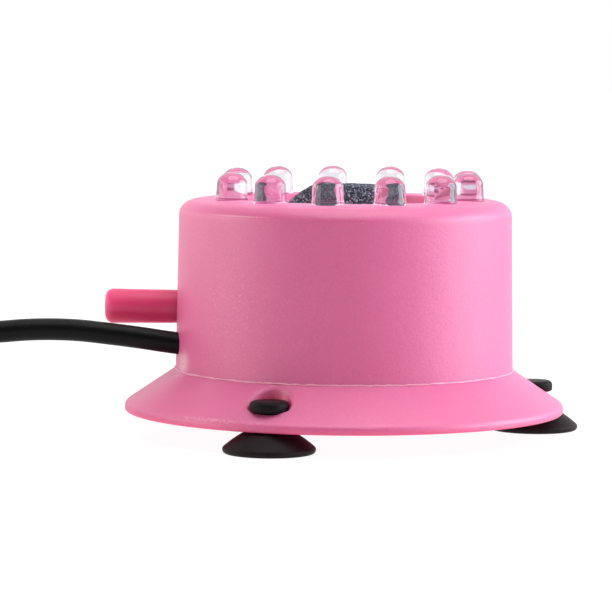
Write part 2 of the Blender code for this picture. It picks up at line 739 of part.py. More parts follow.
def least_gap(points, diameter, apart):
    """Smallest clear distance between stretches of one tube that aren't neighbours."""
    places = np.array([tuple(point) for point in points])
    spread = np.linalg.norm(places[:, None] - places[None], axis=2)
    numbers = np.arange(len(places))
    spread[np.abs(numbers[:, None] - numbers[None]) < apart] = np.inf
    return float(spread.min()) - diameter


def coil_tie(points):
    """Flat band round the bundle, in the upright plane through the coil's middle."""
    centre = Vector((COIL_X, COIL_Y, 0.0))
    near = []
    for point in points:
        offset = Vector((point.x, point.y, 0.0)) - centre
        angle = math.atan2(offset.y, offset.x)
        if abs(angle - TIE_ANGLE) < TIE_REACH:
            near.append(offset.length)
    grip = CABLE_R + TIE_SLACK
    bands = []
    for spread in (grip + TIE_WALL, grip):
        low = Vector((min(near) - spread, COIL_BASE_Z - spread + TIE_SLACK - SEAT_GAP))
        high = Vector((max(near) + spread, COIL_TOP_Z + spread))
        bands.append((low, high, TIE_ROUND + spread - grip))
    curve = bpy.data.curves.new("coil_tie", "CURVE")
    curve.dimensions = "2D"
    curve.fill_mode = "BOTH"
    curve.extrude = TIE_WIDTH / 2
    for low, high, radius in bands:
        corners = ((high.x, high.y, 0.0), (low.x, high.y, 0.5), (low.x, low.y, 1.0), (high.x, low.y, 1.5))
        outline = []
        for x, y, start in corners:
            middle_x = x - math.copysign(radius, x - (low.x + high.x) / 2)
            middle_y = y - math.copysign(radius, y - (low.y + high.y) / 2)
            outline += arc(middle_x, middle_y, radius, start * math.pi, (start + 0.5) * math.pi)
        spline = curve.splines.new("POLY")
        spline.use_cyclic_u = True
        spline.points.add(len(outline) - 1)
        for knot, (x, y) in zip(spline.points, outline):
            knot.co = (x, y, 0.0, 1.0)
    place("coil_tie", curve, RUBBER_BLACK, centre, (math.pi / 2, 0.0, TIE_ANGLE))


def free_cable():
    coil, heading = coil_points()
    gap = least_gap(coil, CABLE_D, COIL_STEPS // 2)
    print(f"coil: least gap to itself {gap * 1000:.2f} mm")
    if gap <= LEAST_COIL_GAP:
        print("coil: the turns are too close")
    lead_end = coil[0] + Vector((SEAT_GAP, 0.0, 0.0))
    knots = [Vector((cable_inner_end(), CABLE_Y, CABLE_Z))]
    knots += [Vector(point) for point in LEAD_ROUTE]
    knots += [lead_end + Vector((LEAD_SQUARE, 0.0, 0.0)), lead_end]
    lead = smooth_route(knots, ROUTE_STEPS)
    tube("cable_lead", lead, CABLE_D, 2, CABLE_BLACK)
    tube("cable_coil", coil, CABLE_D, 1, CABLE_BLACK)
    coil_tie(coil)

    tail_start = coil[-1] + heading * SEAT_GAP
    plug_back = tail_start + heading * TAIL_RUN
    plug_back.z = PLUG_R + SEAT_GAP
    rise = Vector((0.0, 0.0, plug_back.z - tail_start.z))
    tail_knots = [
        tail_start,
        tail_start + heading * TAIL_RUN * 0.25 + rise * 0.04,
        tail_start + heading * TAIL_RUN * 0.50 + rise * 0.50,
        tail_start + heading * TAIL_RUN * 0.75 + rise * 0.96,
        plug_back,
    ]
    tail = smooth_route(tail_knots, ROUTE_STEPS)
    tube("cable_tail", tail, CABLE_D, 2, CABLE_BLACK)
    length = sum((b - a).length for route in (lead, coil, tail) for a, b in zip(route, route[1:]))
    print(f"cable: {length:.3f} m from its inner end to the plug")
    plug(plug_back + heading * SEAT_GAP, math.atan2(heading.x, -heading.y))


# Barrel plug on the end of the cable
def plug(back, heading_angle):
    grip_start = PLUG_RELIEF
    front = PLUG_RELIEF + PLUG_GRIP
    lie = (math.pi / 2, 0.0, heading_angle)
    profile = [(0.0, front)]
    profile += arc(PLUG_R - PLUG_EDGE, front - PLUG_EDGE, PLUG_EDGE, math.pi / 2, 0.0, 2)
    profile += [(PLUG_R, grip_start + PLUG_EDGE), (PLUG_R - PLUG_EDGE, grip_start)]
    rib = PLUG_RELIEF / (2 * PLUG_RIBS + 1)
    for number in range(2 * PLUG_RIBS + 1):
        share = number / (2 * PLUG_RIBS)
        radius = PLUG_RELIEF_R + (PLUG_TAIL_R - PLUG_RELIEF_R) * share
        radius -= PLUG_GROOVE * (number % 2)
        top = PLUG_RELIEF - rib * number
        profile += [(radius, top), (radius, top - rib)]
    profile += [(0.0, 0.0)]
    body = place("plug_body", profile_mesh("plug_body", profile, False), CABLE_BLACK, back, lie)
    turn(body, TUBE_STEPS)
    sleeve_back = front + SEAT_GAP
    sleeve_front = sleeve_back + SLEEVE_LENGTH
    sleeve_r = SLEEVE_D / 2
    lining_r = sleeve_r - SLEEVE_WALL
    sleeve_profile = [
        (sleeve_r, sleeve_front),
        (sleeve_r, sleeve_back),
        (lining_r, sleeve_back),
        (lining_r, sleeve_front),
    ]
    sleeve = place("plug_sleeve", profile_mesh("plug_sleeve", sleeve_profile, True), PLUG_NICKEL, back, lie)
    turn(sleeve, TUBE_STEPS)
    insulator_r = lining_r - SEAT_GAP
    bore_r = INSULATOR_BORE / 2
    insulator_profile = [
        (insulator_r, sleeve_front),
        (insulator_r, sleeve_back),
        (bore_r, sleeve_back),
        (bore_r, sleeve_front),
    ]
    insulator = place("plug_insulator", profile_mesh("plug_insulator", insulator_profile, True),
                      WIRE_BLACK, back, lie)
    turn(insulator, TUBE_STEPS)


upper_housing()
base_skirt()
suction_cups()
leds()
led_board()
air_stone()
air_chamber()
air_nipple()
potting_resin()
cable_stop()
supply_wires()
free_cable()
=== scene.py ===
# %% [markdown]
# A small submersible light for an aquarium: a pink moulded drum with a ring of clear LEDs, an air stone
# in the middle that makes bubbles, a nipple for the air hose, a black lead and three suction cups. The
# CAD model already has every size, so this lesson only dresses it. The imported model is loaded first as
# a frame that never moves.

# %% Load the frame
import math

import bmesh
import bpy
from mathutils import Matrix, Vector


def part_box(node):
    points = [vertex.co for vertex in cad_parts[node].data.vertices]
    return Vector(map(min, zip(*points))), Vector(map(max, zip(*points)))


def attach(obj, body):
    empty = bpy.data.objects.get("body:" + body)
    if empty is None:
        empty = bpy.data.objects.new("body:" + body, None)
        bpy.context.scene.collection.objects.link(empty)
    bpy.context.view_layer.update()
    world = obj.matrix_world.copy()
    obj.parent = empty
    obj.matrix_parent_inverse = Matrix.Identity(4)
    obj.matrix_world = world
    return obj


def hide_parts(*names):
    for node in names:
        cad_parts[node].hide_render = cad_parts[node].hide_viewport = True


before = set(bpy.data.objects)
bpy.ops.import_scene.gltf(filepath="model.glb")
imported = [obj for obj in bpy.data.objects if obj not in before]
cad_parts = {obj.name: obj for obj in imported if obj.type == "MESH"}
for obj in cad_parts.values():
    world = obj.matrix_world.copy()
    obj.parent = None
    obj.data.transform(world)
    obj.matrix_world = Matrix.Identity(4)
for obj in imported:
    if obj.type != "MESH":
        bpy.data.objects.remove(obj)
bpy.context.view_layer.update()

# %% [markdown]
# The main sizes are repeated here in metres, because a scene file can't read the CAD source. Heights
# count from the plane that the cups stand on, radii from the drum's axis, and an angle round the drum
# runs from -Y towards +X.

# %% Sizes shared by several pieces
SEAM_Z = 0.0101
TOP_Z = 0.03725
DRUM_TOP_R = 0.0264
DRUM_SEAM_R = 0.0268
DRUM_INNER_R = 0.0242
LED_RING_R = 0.0199
LED_PLACES = 13
SEAT_GAP = 0.0003
SEAM_GAP = 0.00006
CABLE_D = 0.0035
CABLE_Y = -0.0050
CABLE_Z = 0.0142
NIPPLE_Z = 0.0197
QUARTER = math.pi / 2


def ring_point(radius, angle, height=0.0):
    return Vector((radius * math.sin(angle), -radius * math.cos(angle), height))


def put(name, data):
    """New object in the scene with the given data."""
    made = bpy.data.objects.new(name, data)
    bpy.context.scene.collection.objects.link(made)
    return made


# %% [markdown]
# The photograph was taken from far away with a long lens, a little above the top of the drum. A
# perspective camera with the same focal length in pixels gives the same flat look. Its axes are built
# from a yaw, a pitch and a small roll, then turned with the whole set-up round the drum's axis.

# %% Camera
PHOTO_SIDE = 612
FOCAL_PIXELS = 3325.6
CAMERA_DISTANCE = 0.5271
CAMERA_RISE = 0.02644
CAMERA_YAW = -0.01166
CAMERA_PITCH = 0.08277
CAMERA_ROLL = 0.00776
CAMERA_TURN = math.radians(0.86)

camera_data = bpy.data.cameras.new("product_camera")
camera_data.sensor_width = 36.0
camera_data.lens = FOCAL_PIXELS * camera_data.sensor_width / PHOTO_SIDE
camera_data.clip_start = 0.01
camera_data.clip_end = 20.0
camera = put("product_camera", camera_data)
bpy.context.scene.camera = camera
forward = Vector((
    math.sin(CAMERA_YAW) * math.cos(CAMERA_PITCH),
    math.cos(CAMERA_YAW) * math.cos(CAMERA_PITCH),
    -math.sin(CAMERA_PITCH),
))
level = Vector((math.cos(CAMERA_YAW), -math.sin(CAMERA_YAW), 0.0))
upright = level.cross(forward)
right = level * math.cos(CAMERA_ROLL) + upright * math.sin(CAMERA_ROLL)
up = upright * math.cos(CAMERA_ROLL) - level * math.sin(CAMERA_ROLL)
axes = Matrix((right, up, -forward)).transposed().to_4x4()
place = Matrix.Translation((0.0, -CAMERA_DISTANCE, TOP_Z + CAMERA_RISE))
camera.matrix_world = Matrix.Rotation(CAMERA_TURN, 4, "Z") @ place @ axes
camera_at = [round(v, 4) for v in camera.matrix_world.translation]
print("camera: lens", round(camera_data.lens, 2), "at", camera_at)

# %% [markdown]
# Every finish is a small node tree. A wrapper round a socket lets the maths be written as plain Python:
# adding or multiplying two sockets adds a Math node, and one method makes any other kind of node, with
# its settings first and its sockets after. The same wrapper also builds the Geometry Nodes trees further
# down.


# %% Sockets that behave like numbers
class Socket:
    """An output socket whose sums and products become Math nodes in its tree."""

    def __init__(self, tree, output=None):
        self.tree = tree
        self.output = output

    def node(self, kind, settings=None, inputs=None, out=0):
        made = self.tree.nodes.new(kind)
        for name, value in (settings or {}).items():
            if name == "stops":
                self.set_stops(made.color_ramp, value)
            else:
                setattr(made, name, value)
        for name, value in (inputs or {}).items():
            if isinstance(value, Socket):
                self.tree.links.new(value.output, made.inputs[name])
            else:
                made.inputs[name].default_value = value
        return Socket(self.tree, made.outputs[out])

    @staticmethod
    def set_stops(ramp, stops):
        while len(ramp.elements) < len(stops):
            ramp.elements.new(0.5)
        for element, (position, colour) in zip(ramp.elements, stops):
            element.position = position
            element.color = (*colour, 1.0)

    def maths(self, operation, first, second):
        return self.node("ShaderNodeMath", {"operation": operation}, {0: first, 1: second})

    def vector(self, operation, first, second=(0.0, 0.0, 0.0), out=0):
        return self.node("ShaderNodeVectorMath", {"operation": operation}, {0: first, 1: second}, out)

    def length(self):
        return self.vector("LENGTH", self, out="Value")

    def __add__(self, other):
        return self.maths("ADD", self, other)

    def __radd__(self, other):
        return self.maths("ADD", other, self)

    def __sub__(self, other):
        return self.maths("SUBTRACT", self, other)

    def __rsub__(self, other):
        return self.maths("SUBTRACT", other, self)

    def __mul__(self, other):
        return self.maths("MULTIPLY", self, other)

    def __rmul__(self, other):
        return self.maths("MULTIPLY", other, self)


# %% Finish: a material with its shader and the patterns that finishes share
class Finish:
    """A Principled material; constants are set on its sockets and patterns are linked."""

    def __init__(self, name, **constants):
        self.material = bpy.data.materials.new(name)
        self.material.use_nodes = True
        tree = self.material.node_tree
        self.shader = tree.nodes["Principled BSDF"]
        self.sheet = Socket(tree)
        self.where = self.sheet.node("ShaderNodeTexCoord", out="Object")
        for label, value in constants.items():
            self.shader.inputs[label.replace("_", " ")].default_value = value

    def link(self, label, socket):
        socket.tree.links.new(socket.output, self.shader.inputs[label])

    def noise(self, size, detail=2.0, roughness=0.5):
        """Noise whose lumps are about the given size in metres."""
        return self.sheet.node("ShaderNodeTexNoise", {}, {
            "Vector": self.where, "Scale": 1.0 / size, "Detail": detail, "Roughness": roughness})

    def blend(self, share, first, second):
        """Colour that goes from the first to the second with the share."""
        return self.sheet.node("ShaderNodeMix", {"data_type": "RGBA"}, {
            "Factor": share, "A": (*first, 1.0), "B": (*second, 1.0)}, out="Result")

    def bump(self, height, depth, strength=1.0):
        self.link("Normal", self.sheet.node("ShaderNodeBump", {}, {
            "Height": height, "Distance": depth, "Strength": strength}))

    def dress(self, colours, roughness, bump=None):
        """Links a blend of two colours, a roughness and, where it is given, a bump."""
        self.link("Base Color", self.blend(*colours))
        self.link("Roughness", roughness)
        if bump:
            self.bump(*bump)


def sharpen(noise, low, high):
    """Noise stretched so that the low value becomes 0 and the high value becomes 1."""
    return noise.node("ShaderNodeMapRange", {}, {
        "Value": noise, "From Min": low, "From Max": high, "To Min": 0.0, "To Max": 1.0})


print("sockets and finishes are ready")

# %% [markdown]
# Turned pieces are the heart of this object: drum, skirt, stone, cups, nipple and plug all come from a
# profile that is swung round an axis. One function does it for all of them, with a single vertex at a
# pole so that no doubles are left there. Another makes an object from the shape, and a third turns
# modifiers into a plain mesh.

# %% Turning, placing and settling
POLE = 1e-7
SHARP_ANGLE = math.radians(32.0)
WELD = 1e-6


def turned(profile, steps, ring=False):
    """Shape turned round Z from (radius, height) points; a ring's profile closes on itself."""
    shape = bmesh.new()
    rows = []
    for radius, height in profile:
        row = []
        for i in range(steps if radius > POLE else 1):
            angle = 2.0 * math.pi * i / steps
            row.append(shape.verts.new((radius * math.cos(angle), radius * math.sin(angle), height)))
        rows.append(row)
    pairs = list(zip(rows, rows[1:]))
    if ring:
        pairs.append((rows[-1], rows[0]))
    for lower, upper in pairs:
        for i in range(steps):
            j = (i + 1) % steps
            order = ((lower, i), (lower, j), (upper, j), (upper, i))
            corners = list(dict.fromkeys(row[k % len(row)] for row, k in order))
            if len(corners) > 2:
                shape.faces.new(corners)
    bmesh.ops.recalc_face_normals(shape, faces=shape.faces)
    return shape


def arc(centre_r, centre_z, radius, start, end, steps):
    """Profile points of an arc from one angle to another, both ends included."""
    angles = [start + (end - start) * i / steps for i in range(steps + 1)]
    return [(centre_r + radius * math.cos(a), centre_z + radius * math.sin(a)) for a in angles]


def run(first, last, steps):
    """Points along a straight stretch of profile, without its first point."""
    return [tuple(Vector(first).lerp(Vector(last), i / steps)) for i in range(1, steps + 1)]


def smooth(mesh):
    mesh.shade_smooth()
    mesh.set_sharp_from_angle(angle=SHARP_ANGLE)


def moved(shape, place):
    bmesh.ops.transform(shape, matrix=place, verts=shape.verts)
    return shape


def add_shape(whole, part):
    """Puts a finished shape into another one."""
    mesh = bpy.data.meshes.new("part")
    part.to_mesh(mesh)
    part.free()
    whole.from_mesh(mesh)
    bpy.data.meshes.remove(mesh)


def span(shape, rows, loop=False):
    """Faces between rows of vertices that close on themselves; a loop joins the last row to the first."""
    for first, second in zip(rows, rows[1:] + rows[:1] if loop else rows[1:]):
        for i in range(len(first)):
            j = (i + 1) % len(first)
            shape.faces.new((first[i], first[j], second[j], second[i]))


def new_piece(name, shape, finish=None):
    mesh = bpy.data.meshes.new(name)
    shape.to_mesh(mesh)
    shape.free()
    if finish:
        mesh.materials.append(finish.material)
    smooth(mesh)
    return put(name, mesh)


def settle(piece):
    """Turns an object's modifiers into a plain mesh."""
    graph = bpy.context.evaluated_depsgraph_get()
    graph.update()
    mesh = bpy.data.meshes.new_from_object(piece.evaluated_get(graph), depsgraph=graph)
    piece.modifiers.clear()
    old = piece.data
    piece.data = mesh
    bpy.data.meshes.remove(old)
    return piece


def cut(piece, shape):
    """Cuts a shape out of a piece and cleans the faces round the cut."""
    tool = new_piece("tool", shape)
    change = piece.modifiers.new("change", "BOOLEAN")
    change.operation = "DIFFERENCE"
    change.solver = "EXACT"
    change.object = tool
    settle(piece)
    bpy.data.meshes.remove(tool.data)
    tidy = bmesh.new()
    tidy.from_mesh(piece.data)
    bmesh.ops.remove_doubles(tidy, verts=tidy.verts, dist=WELD)
    many_sided = [face for face in tidy.faces if len(face.verts) > 4]
    bmesh.ops.triangulate(tidy, faces=many_sided)
    tidy.to_mesh(piece.data)
    tidy.free()
    smooth(piece.data)
    return piece


def show(piece, body, nodes=()):
    """Hands a finished piece to the frame: its body and the nodes it stands for."""
    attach(piece, body)
    if nodes:
        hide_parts(*nodes)
    triangles = sum(len(face.vertices) - 2 for face in getattr(piece.data, "polygons", ()))
    print(piece.name, "rides on", body, "with", triangles, "triangles")


# %% [markdown]
# Geometry Nodes make what repeats: the LEDs, the grains of the stone and the irregular flash along the
# seam. Each tree gets named inputs for its sizes, ends in Realize Instances and Set Material, and is then
# settled into a plain mesh, because an exported model keeps no instances.

# %% A piece grown by a node tree
INPUT_KINDS = ((bpy.types.Object, "NodeSocketObject"), (int, "NodeSocketInt"), (float, "NodeSocketFloat"))


def input_kind(value):
    return next(kind for sort, kind in INPUT_KINDS if isinstance(value, sort))


def grown(name, build, sizes, finish):
    """Piece of a node tree; build(sheet, inputs) returns its last geometry socket."""
    tree = bpy.data.node_groups.new(name, "GeometryNodeTree")
    tree.interface.new_socket("Geometry", in_out="INPUT", socket_type="NodeSocketGeometry")
    tree.interface.new_socket("Geometry", in_out="OUTPUT", socket_type="NodeSocketGeometry")
    for label, value in sizes.items():
        tree.interface.new_socket(label, in_out="INPUT", socket_type=input_kind(value))
    entry = tree.nodes.new("NodeGroupInput")
    inputs = {item.name: Socket(tree, item) for item in entry.outputs if item.name in sizes}
    last = build(Socket(tree), inputs)
    last = last.node("GeometryNodeRealizeInstances", {}, {"Geometry": last})
    last = last.node("GeometryNodeSetMaterial", {}, {"Geometry": last, "Material": finish.material})
    tree.links.new(last.output, tree.nodes.new("NodeGroupOutput").inputs[0])
    piece = put(name, bpy.data.meshes.new(name))
    growth = piece.modifiers.new("growth", "NODES")
    growth.node_group = tree
    for item in tree.interface.items_tree:
        if item.in_out == "INPUT" and item.name in sizes:
            growth[item.identifier] = sizes[item.name]
    return settle(piece)


# %% [markdown]
# The lead is a thin round black cable. It leaves a hole low in the drum's wall beside the air nipple,
# rises a little, and goes straight out of the picture. The rest of its 1.4 metres is put away in a neat
# coil just outside the view, with the plug beside it. Everything is one curve, so the cable is never
# broken: first the route of the lead, then the coil from a formula, then the short tail to the plug. The
# finish is soft PVC with faint waviness.

# %% Finish of the cable
cable_finish = Finish("black_cable_jacket", Specular_IOR_Level=0.14)
cable_finish.dress(
    (cable_finish.noise(0.004, 3.0), (0.0030, 0.0030, 0.0034), (0.0055, 0.0055, 0.0062)),
    0.36 + 0.14 * cable_finish.noise(0.0011, 2.0),
    (cable_finish.noise(0.0007, 2.0), 0.00003, 0.5))
print("cable finish made")

# %% Route of the lead: distance out along X and height
LEAD_ROUTE = (
    (-0.01825, 0.0142),
    (-0.0248, 0.0142),
    (-0.0280, 0.0145),
    (-0.0320, 0.01506),
    (-0.0370, 0.01566),
    (-0.0420, 0.01616),
    (-0.0465, 0.01628),
    (-0.0505, 0.01614),
    (-0.0545, 0.01580),
    (-0.0600, 0.01545),
    (-0.0680, 0.01510),
    (-0.0780, 0.0149),
    (-0.0837, 0.01495),
)


def smooth_route(knots, steps):
    """Points of a smooth curve through the knots."""
    knots = [Vector(knot) for knot in knots]
    ends = [2 * knots[0] - knots[1], *knots, 2 * knots[-1] - knots[-2]]
    points = []
    for i in range(len(knots) - 1):
        before, start, end, after = ends[i:i + 4]
        for step in range(steps):
            t = step / steps
            pull = (end - before) * t
            bend = (2 * before - 5 * start + 4 * end - after) * t ** 2
            swing = (3 * start - before - 3 * end + after) * t ** 3
            points.append(start + 0.5 * (pull + bend + swing))
    return [*points, knots[-1]]


# %% Coil and tail
COIL_CENTRE = Vector((-0.0955, 0.01975, 0.0))
COIL_INNER_R = 0.0140
COIL_OUTER_R = 0.02475
COIL_PITCH = 0.0040
COIL_TURNS = 10.75
COIL_LAYERS = 4
COIL_STEPS = 48
COIL_TOP_Z = 0.01495
TAIL_RUN = 0.0170
PLUG_AXIS_Z = 0.0050


def coil_points():
    """Layers that spiral in and out by turns and drop a layer in the half turn between."""
    layer_turns = COIL_TURNS / COIL_LAYERS
    points = []
    for i in range(round(COIL_TURNS * COIL_STEPS) + 1):
        turns = i / COIL_STEPS
        layer = min(turns / layer_turns, COIL_LAYERS)
        swing = abs((layer + 1.0) % 2.0 - 1.0)
        radius = COIL_OUTER_R - (COIL_OUTER_R - COIL_INNER_R) * swing
        drop = 0.0
        for change in range(1, COIL_LAYERS):
            share = min(max(2.0 * (turns - change * layer_turns) + 0.5, 0.0), 1.0)
            drop += share * share * (3.0 - 2.0 * share)
        angle = -QUARTER - 2.0 * math.pi * turns
        flat = Vector((radius * math.cos(angle), radius * math.sin(angle), 0.0))
        points.append(COIL_CENTRE + flat + Vector((0.0, 0.0, COIL_TOP_Z - drop * COIL_PITCH)))
    return points


coil = coil_points()
tail_start = coil[-1] + Vector((0.0, -CABLE_D - SEAT_GAP, 0.0))
plug_back = Vector((tail_start.x, tail_start.y - TAIL_RUN, PLUG_AXIS_Z))
climb = Vector((0.0, 0.0, plug_back.z - tail_start.z))
along = Vector((0.0, -TAIL_RUN, 0.0))
tail = [
    tail_start,
    tail_start + along * 0.25 + climb * 0.04,
    tail_start + along * 0.50 + climb * 0.50,
    tail_start + along * 0.75 + climb * 0.96,
    plug_back,
    plug_back + along * 0.15,
]

# %% The cable as one curve
cable_curve = bpy.data.curves.new("power_cable", "CURVE")
cable_curve.dimensions = "3D"
cable_curve.bevel_depth = CABLE_D / 2
cable_curve.bevel_resolution = 6
cable_curve.use_fill_caps = True
lead = smooth_route([(x, CABLE_Y, z) for x, z in LEAD_ROUTE], 5)
cable_points = lead + coil[:-1] + smooth_route([coil[-1], *tail], 4)
cable_line = cable_curve.splines.new("POLY")
cable_line.points.add(len(cable_points) - 1)
for knot, point in zip(cable_line.points, cable_points):
    knot.co = (*point, 1.0)
cable_curve.materials.append(cable_finish.material)
power_cable = put("power_cable", cable_curve)
cable_length = sum((b - a).length for a, b in zip(cable_points, cable_points[1:]))
print("cable:", len(cable_points), "points,", round(cable_length, 3), "m")

# %% [markdown]
# The plug on the cable's end is an ordinary barrel plug: a moulded grip with a ribbed strain relief, a
# nickel-plated sleeve and a dark insulator with the bore for the centre pin. All three are turned, then
# laid along -Y beside the coil. A grip needs finger ridges, which are just waves in its profile.

# %% Finishes of the plug
grip_finish = Finish("plug_grip_pvc", Roughness=0.5)
grip_grain = grip_finish.noise(0.0005, 3.0)
grip_finish.dress(
    (grip_grain, (0.010, 0.010, 0.011), (0.018, 0.018, 0.019)),
    0.46 + 0.16 * grip_grain, (grip_grain, 0.00004, 0.6))

nickel_finish = Finish("nickel_plate", Metallic=1.0, Roughness=0.2)
nickel_wipe = nickel_finish.noise(0.0009, 4.0)
nickel_finish.dress((nickel_wipe, (0.66, 0.62, 0.55), (0.80, 0.77, 0.71)), 0.14 + 0.20 * nickel_wipe)
print("plug finishes made")

# %% Plug pieces
PLUG_R = 0.0047
PLUG_RELIEF = 0.0090
PLUG_FRONT = 0.0240
SLEEVE_R = 0.00275
SLEEVE_LENGTH = 0.0095
LINING_R = 0.00205
PIN_BORE_R = 0.00105
GRIP_WAVES = 6
GRIP_WAVE = 0.00022
RELIEF_RIBS = 5
PLUG_STEPS = 72
GRIP_EDGE = 0.0009
GRIP_BAND = 0.0030
GRIP_RIDGED = 0.0090
RELIEF_R = 0.0026
RELIEF_FLARE = 0.0007
RELIEF_GROOVE = 0.00045
SLEEVE_EDGE = 0.0004
LINING_EDGE = 0.0001
BORE_EDGE = 0.0003


def grip_radius(height):
    """Grip with finger ridges between two plain bands."""
    share = (height - PLUG_RELIEF - GRIP_BAND) / GRIP_RIDGED
    ridge = math.sin(math.pi * GRIP_WAVES * share) ** 2 if 0.0 < share < 1.0 else 0.0
    return PLUG_R - GRIP_WAVE * ridge


def relief_radius(height):
    share = height / PLUG_RELIEF
    wave = max(0.0, math.cos(2.0 * math.pi * (share * RELIEF_RIBS + 0.5)))
    return RELIEF_R + RELIEF_FLARE * share - RELIEF_GROOVE * wave


relief = [(relief_radius(PLUG_RELIEF * i / 60), PLUG_RELIEF * i / 60) for i in range(61)]
grip_long = PLUG_FRONT - PLUG_RELIEF - 2 * GRIP_EDGE
grip_rows = [PLUG_RELIEF + GRIP_EDGE + grip_long * i / 90 for i in range(91)]
grip_profile = [(0.0, 0.0)] + relief
grip_profile += arc(PLUG_R - GRIP_EDGE, PLUG_RELIEF + GRIP_EDGE, GRIP_EDGE, -QUARTER, 0.0, 6)
grip_profile += [(grip_radius(row), row) for row in grip_rows]
grip_profile += arc(PLUG_R - GRIP_EDGE, PLUG_FRONT - GRIP_EDGE, GRIP_EDGE, 0.0, QUARTER, 6)
grip_profile += [(0.0, PLUG_FRONT)]
sleeve_back = PLUG_FRONT + SEAT_GAP
sleeve_front = sleeve_back + SLEEVE_LENGTH
sleeve_profile = [(LINING_R, sleeve_back), (SLEEVE_R, sleeve_back), (SLEEVE_R, sleeve_front - SLEEVE_EDGE)]
sleeve_profile += arc(SLEEVE_R - SLEEVE_EDGE, sleeve_front - SLEEVE_EDGE, SLEEVE_EDGE, 0.0, QUARTER, 5)
sleeve_profile += [(LINING_R + LINING_EDGE, sleeve_front), (LINING_R, sleeve_front - LINING_EDGE)]
insulator_r = LINING_R - SEAT_GAP / 6
insulator_profile = [
    (PIN_BORE_R, sleeve_back),
    (insulator_r, sleeve_back),
    (insulator_r, sleeve_front - LINING_EDGE),
    (insulator_r - LINING_EDGE, sleeve_front),
    (PIN_BORE_R + BORE_EDGE, sleeve_front),
    (PIN_BORE_R, sleeve_front - BORE_EDGE),
]
plug_start = plug_back + Vector((0.0, -SEAT_GAP, 0.0))
plug_lie = Matrix.Translation(plug_start) @ Matrix.Rotation(QUARTER, 4, "X")


def plug_piece(name, profile, ring, finish, node):
    piece = new_piece(name, moved(turned(profile, PLUG_STEPS, ring), plug_lie), finish)
    show(piece, "root", [node])
    return piece


plug_grip = plug_piece("plug_grip", grip_profile, False, grip_finish, "plug_body")
plug_sleeve = plug_piece("plug_barrel", sleeve_profile, True, nickel_finish, "plug_sleeve")
plug_insulator = plug_piece("plug_lining", insulator_profile, True, grip_finish, "plug_insulator")

# %% [markdown]
# A twist tie holds the coil: a flat plastic strip with a wire in its middle, taken once round the bundle
# and twisted on top. The strip is swept round a loop with rounded corners, and the twisted end is two
# strands that wind round each other and splay at their tips.

# %% Twist tie: its finish and the loop round the bundle
tie_finish = Finish("twist_tie_plastic", Roughness=0.4)
tie_grain = tie_finish.noise(0.0008, 2.0)
tie_finish.dress(
    (tie_grain, (0.012, 0.012, 0.013), (0.022, 0.022, 0.023)),
    0.36 + 0.14 * tie_grain, (tie_grain, 0.00003, 0.5))

TIE_ANGLE = math.radians(75.0)
TIE_WALL = 0.0007
TIE_WIDTH = 0.0035
TIE_ROUND = 0.0019
TIE_RIB = 0.00028
TIE_RIB_SHARE = 0.22
TIE_SIDES = 24
UP = Vector((0.0, 0.0, 1.0))
tie_along = Vector((math.cos(TIE_ANGLE), math.sin(TIE_ANGLE), 0.0))
tie_side = Vector((-math.sin(TIE_ANGLE), math.cos(TIE_ANGLE), 0.0))
tie_low, tie_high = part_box("coil_tie")
tie_corners = [Vector(c) for c in ((tie_low.x, tie_low.y, 0.0), (tie_high.x, tie_high.y, 0.0))]
reach = [(corner - COIL_CENTRE).dot(tie_along) for corner in tie_corners]
side_shift = TIE_WIDTH / 2 * math.sin(TIE_ANGLE) * math.cos(TIE_ANGLE) * 2
loop_low = Vector((min(reach) + side_shift + TIE_WALL / 2, tie_low.z + TIE_WALL / 2))
loop_high = Vector((max(reach) - side_shift - TIE_WALL / 2, tie_high.z - TIE_WALL / 2))
print("tie loop:", [round(v * 1000, 2) for v in (*loop_low, *loop_high)], "mm")


def tie_loop():
    """Points of the loop with their outward directions, both in its own plane."""
    points = []
    for corner, (x, y) in enumerate(((loop_high.x, loop_high.y), (loop_low.x, loop_high.y),
                                     (loop_low.x, loop_low.y), (loop_high.x, loop_low.y))):
        middle = Vector((x + TIE_ROUND * (-1, 1, 1, -1)[corner], y + TIE_ROUND * (-1, -1, 1, 1)[corner]))
        for step in range(9):
            angle = QUARTER * (corner + step / 8)
            outward = Vector((math.cos(angle), math.sin(angle)))
            points.append((middle + outward * TIE_ROUND, outward))
    return points


def tie_shape():
    """Strip with a raised rib over its wire, swept round the loop."""
    section = []
    for step in range(TIE_SIDES):
        angle = 2.0 * math.pi * step / TIE_SIDES
        across = math.copysign(abs(math.cos(angle)) ** 0.35, math.cos(angle))
        thick = math.copysign(abs(math.sin(angle)) ** 0.6, math.sin(angle))
        rib = TIE_RIB * math.exp(-(across / TIE_RIB_SHARE) ** 2)
        section.append((across * TIE_WIDTH / 2, thick * (TIE_WALL * 0.36 + rib)))
    shape = bmesh.new()
    rings = []
    for point, outward in tie_loop():
        ring = []
        for across, thick in section:
            flat = point + outward * thick
            ring.append(shape.verts.new(COIL_CENTRE + tie_along * flat.x + tie_side * across + UP * flat.y))
        rings.append(ring)
    span(shape, rings, loop=True)
    bmesh.ops.recalc_face_normals(shape, faces=shape.faces)
    return shape


# %% Twist tie: the twisted ends
TWIST_LENGTH = 0.0085
TWIST_TURNS = 2.5
TWIST_R = 0.00075
STRAND_R = 0.0007
STRAND_STEPS = 40
TWIST_INSET = 0.0045
TWIST_LIFT = 0.0012
TWIST_SAG = 0.0010
SPLAY_FROM = 0.8
SPLAY = 1.8


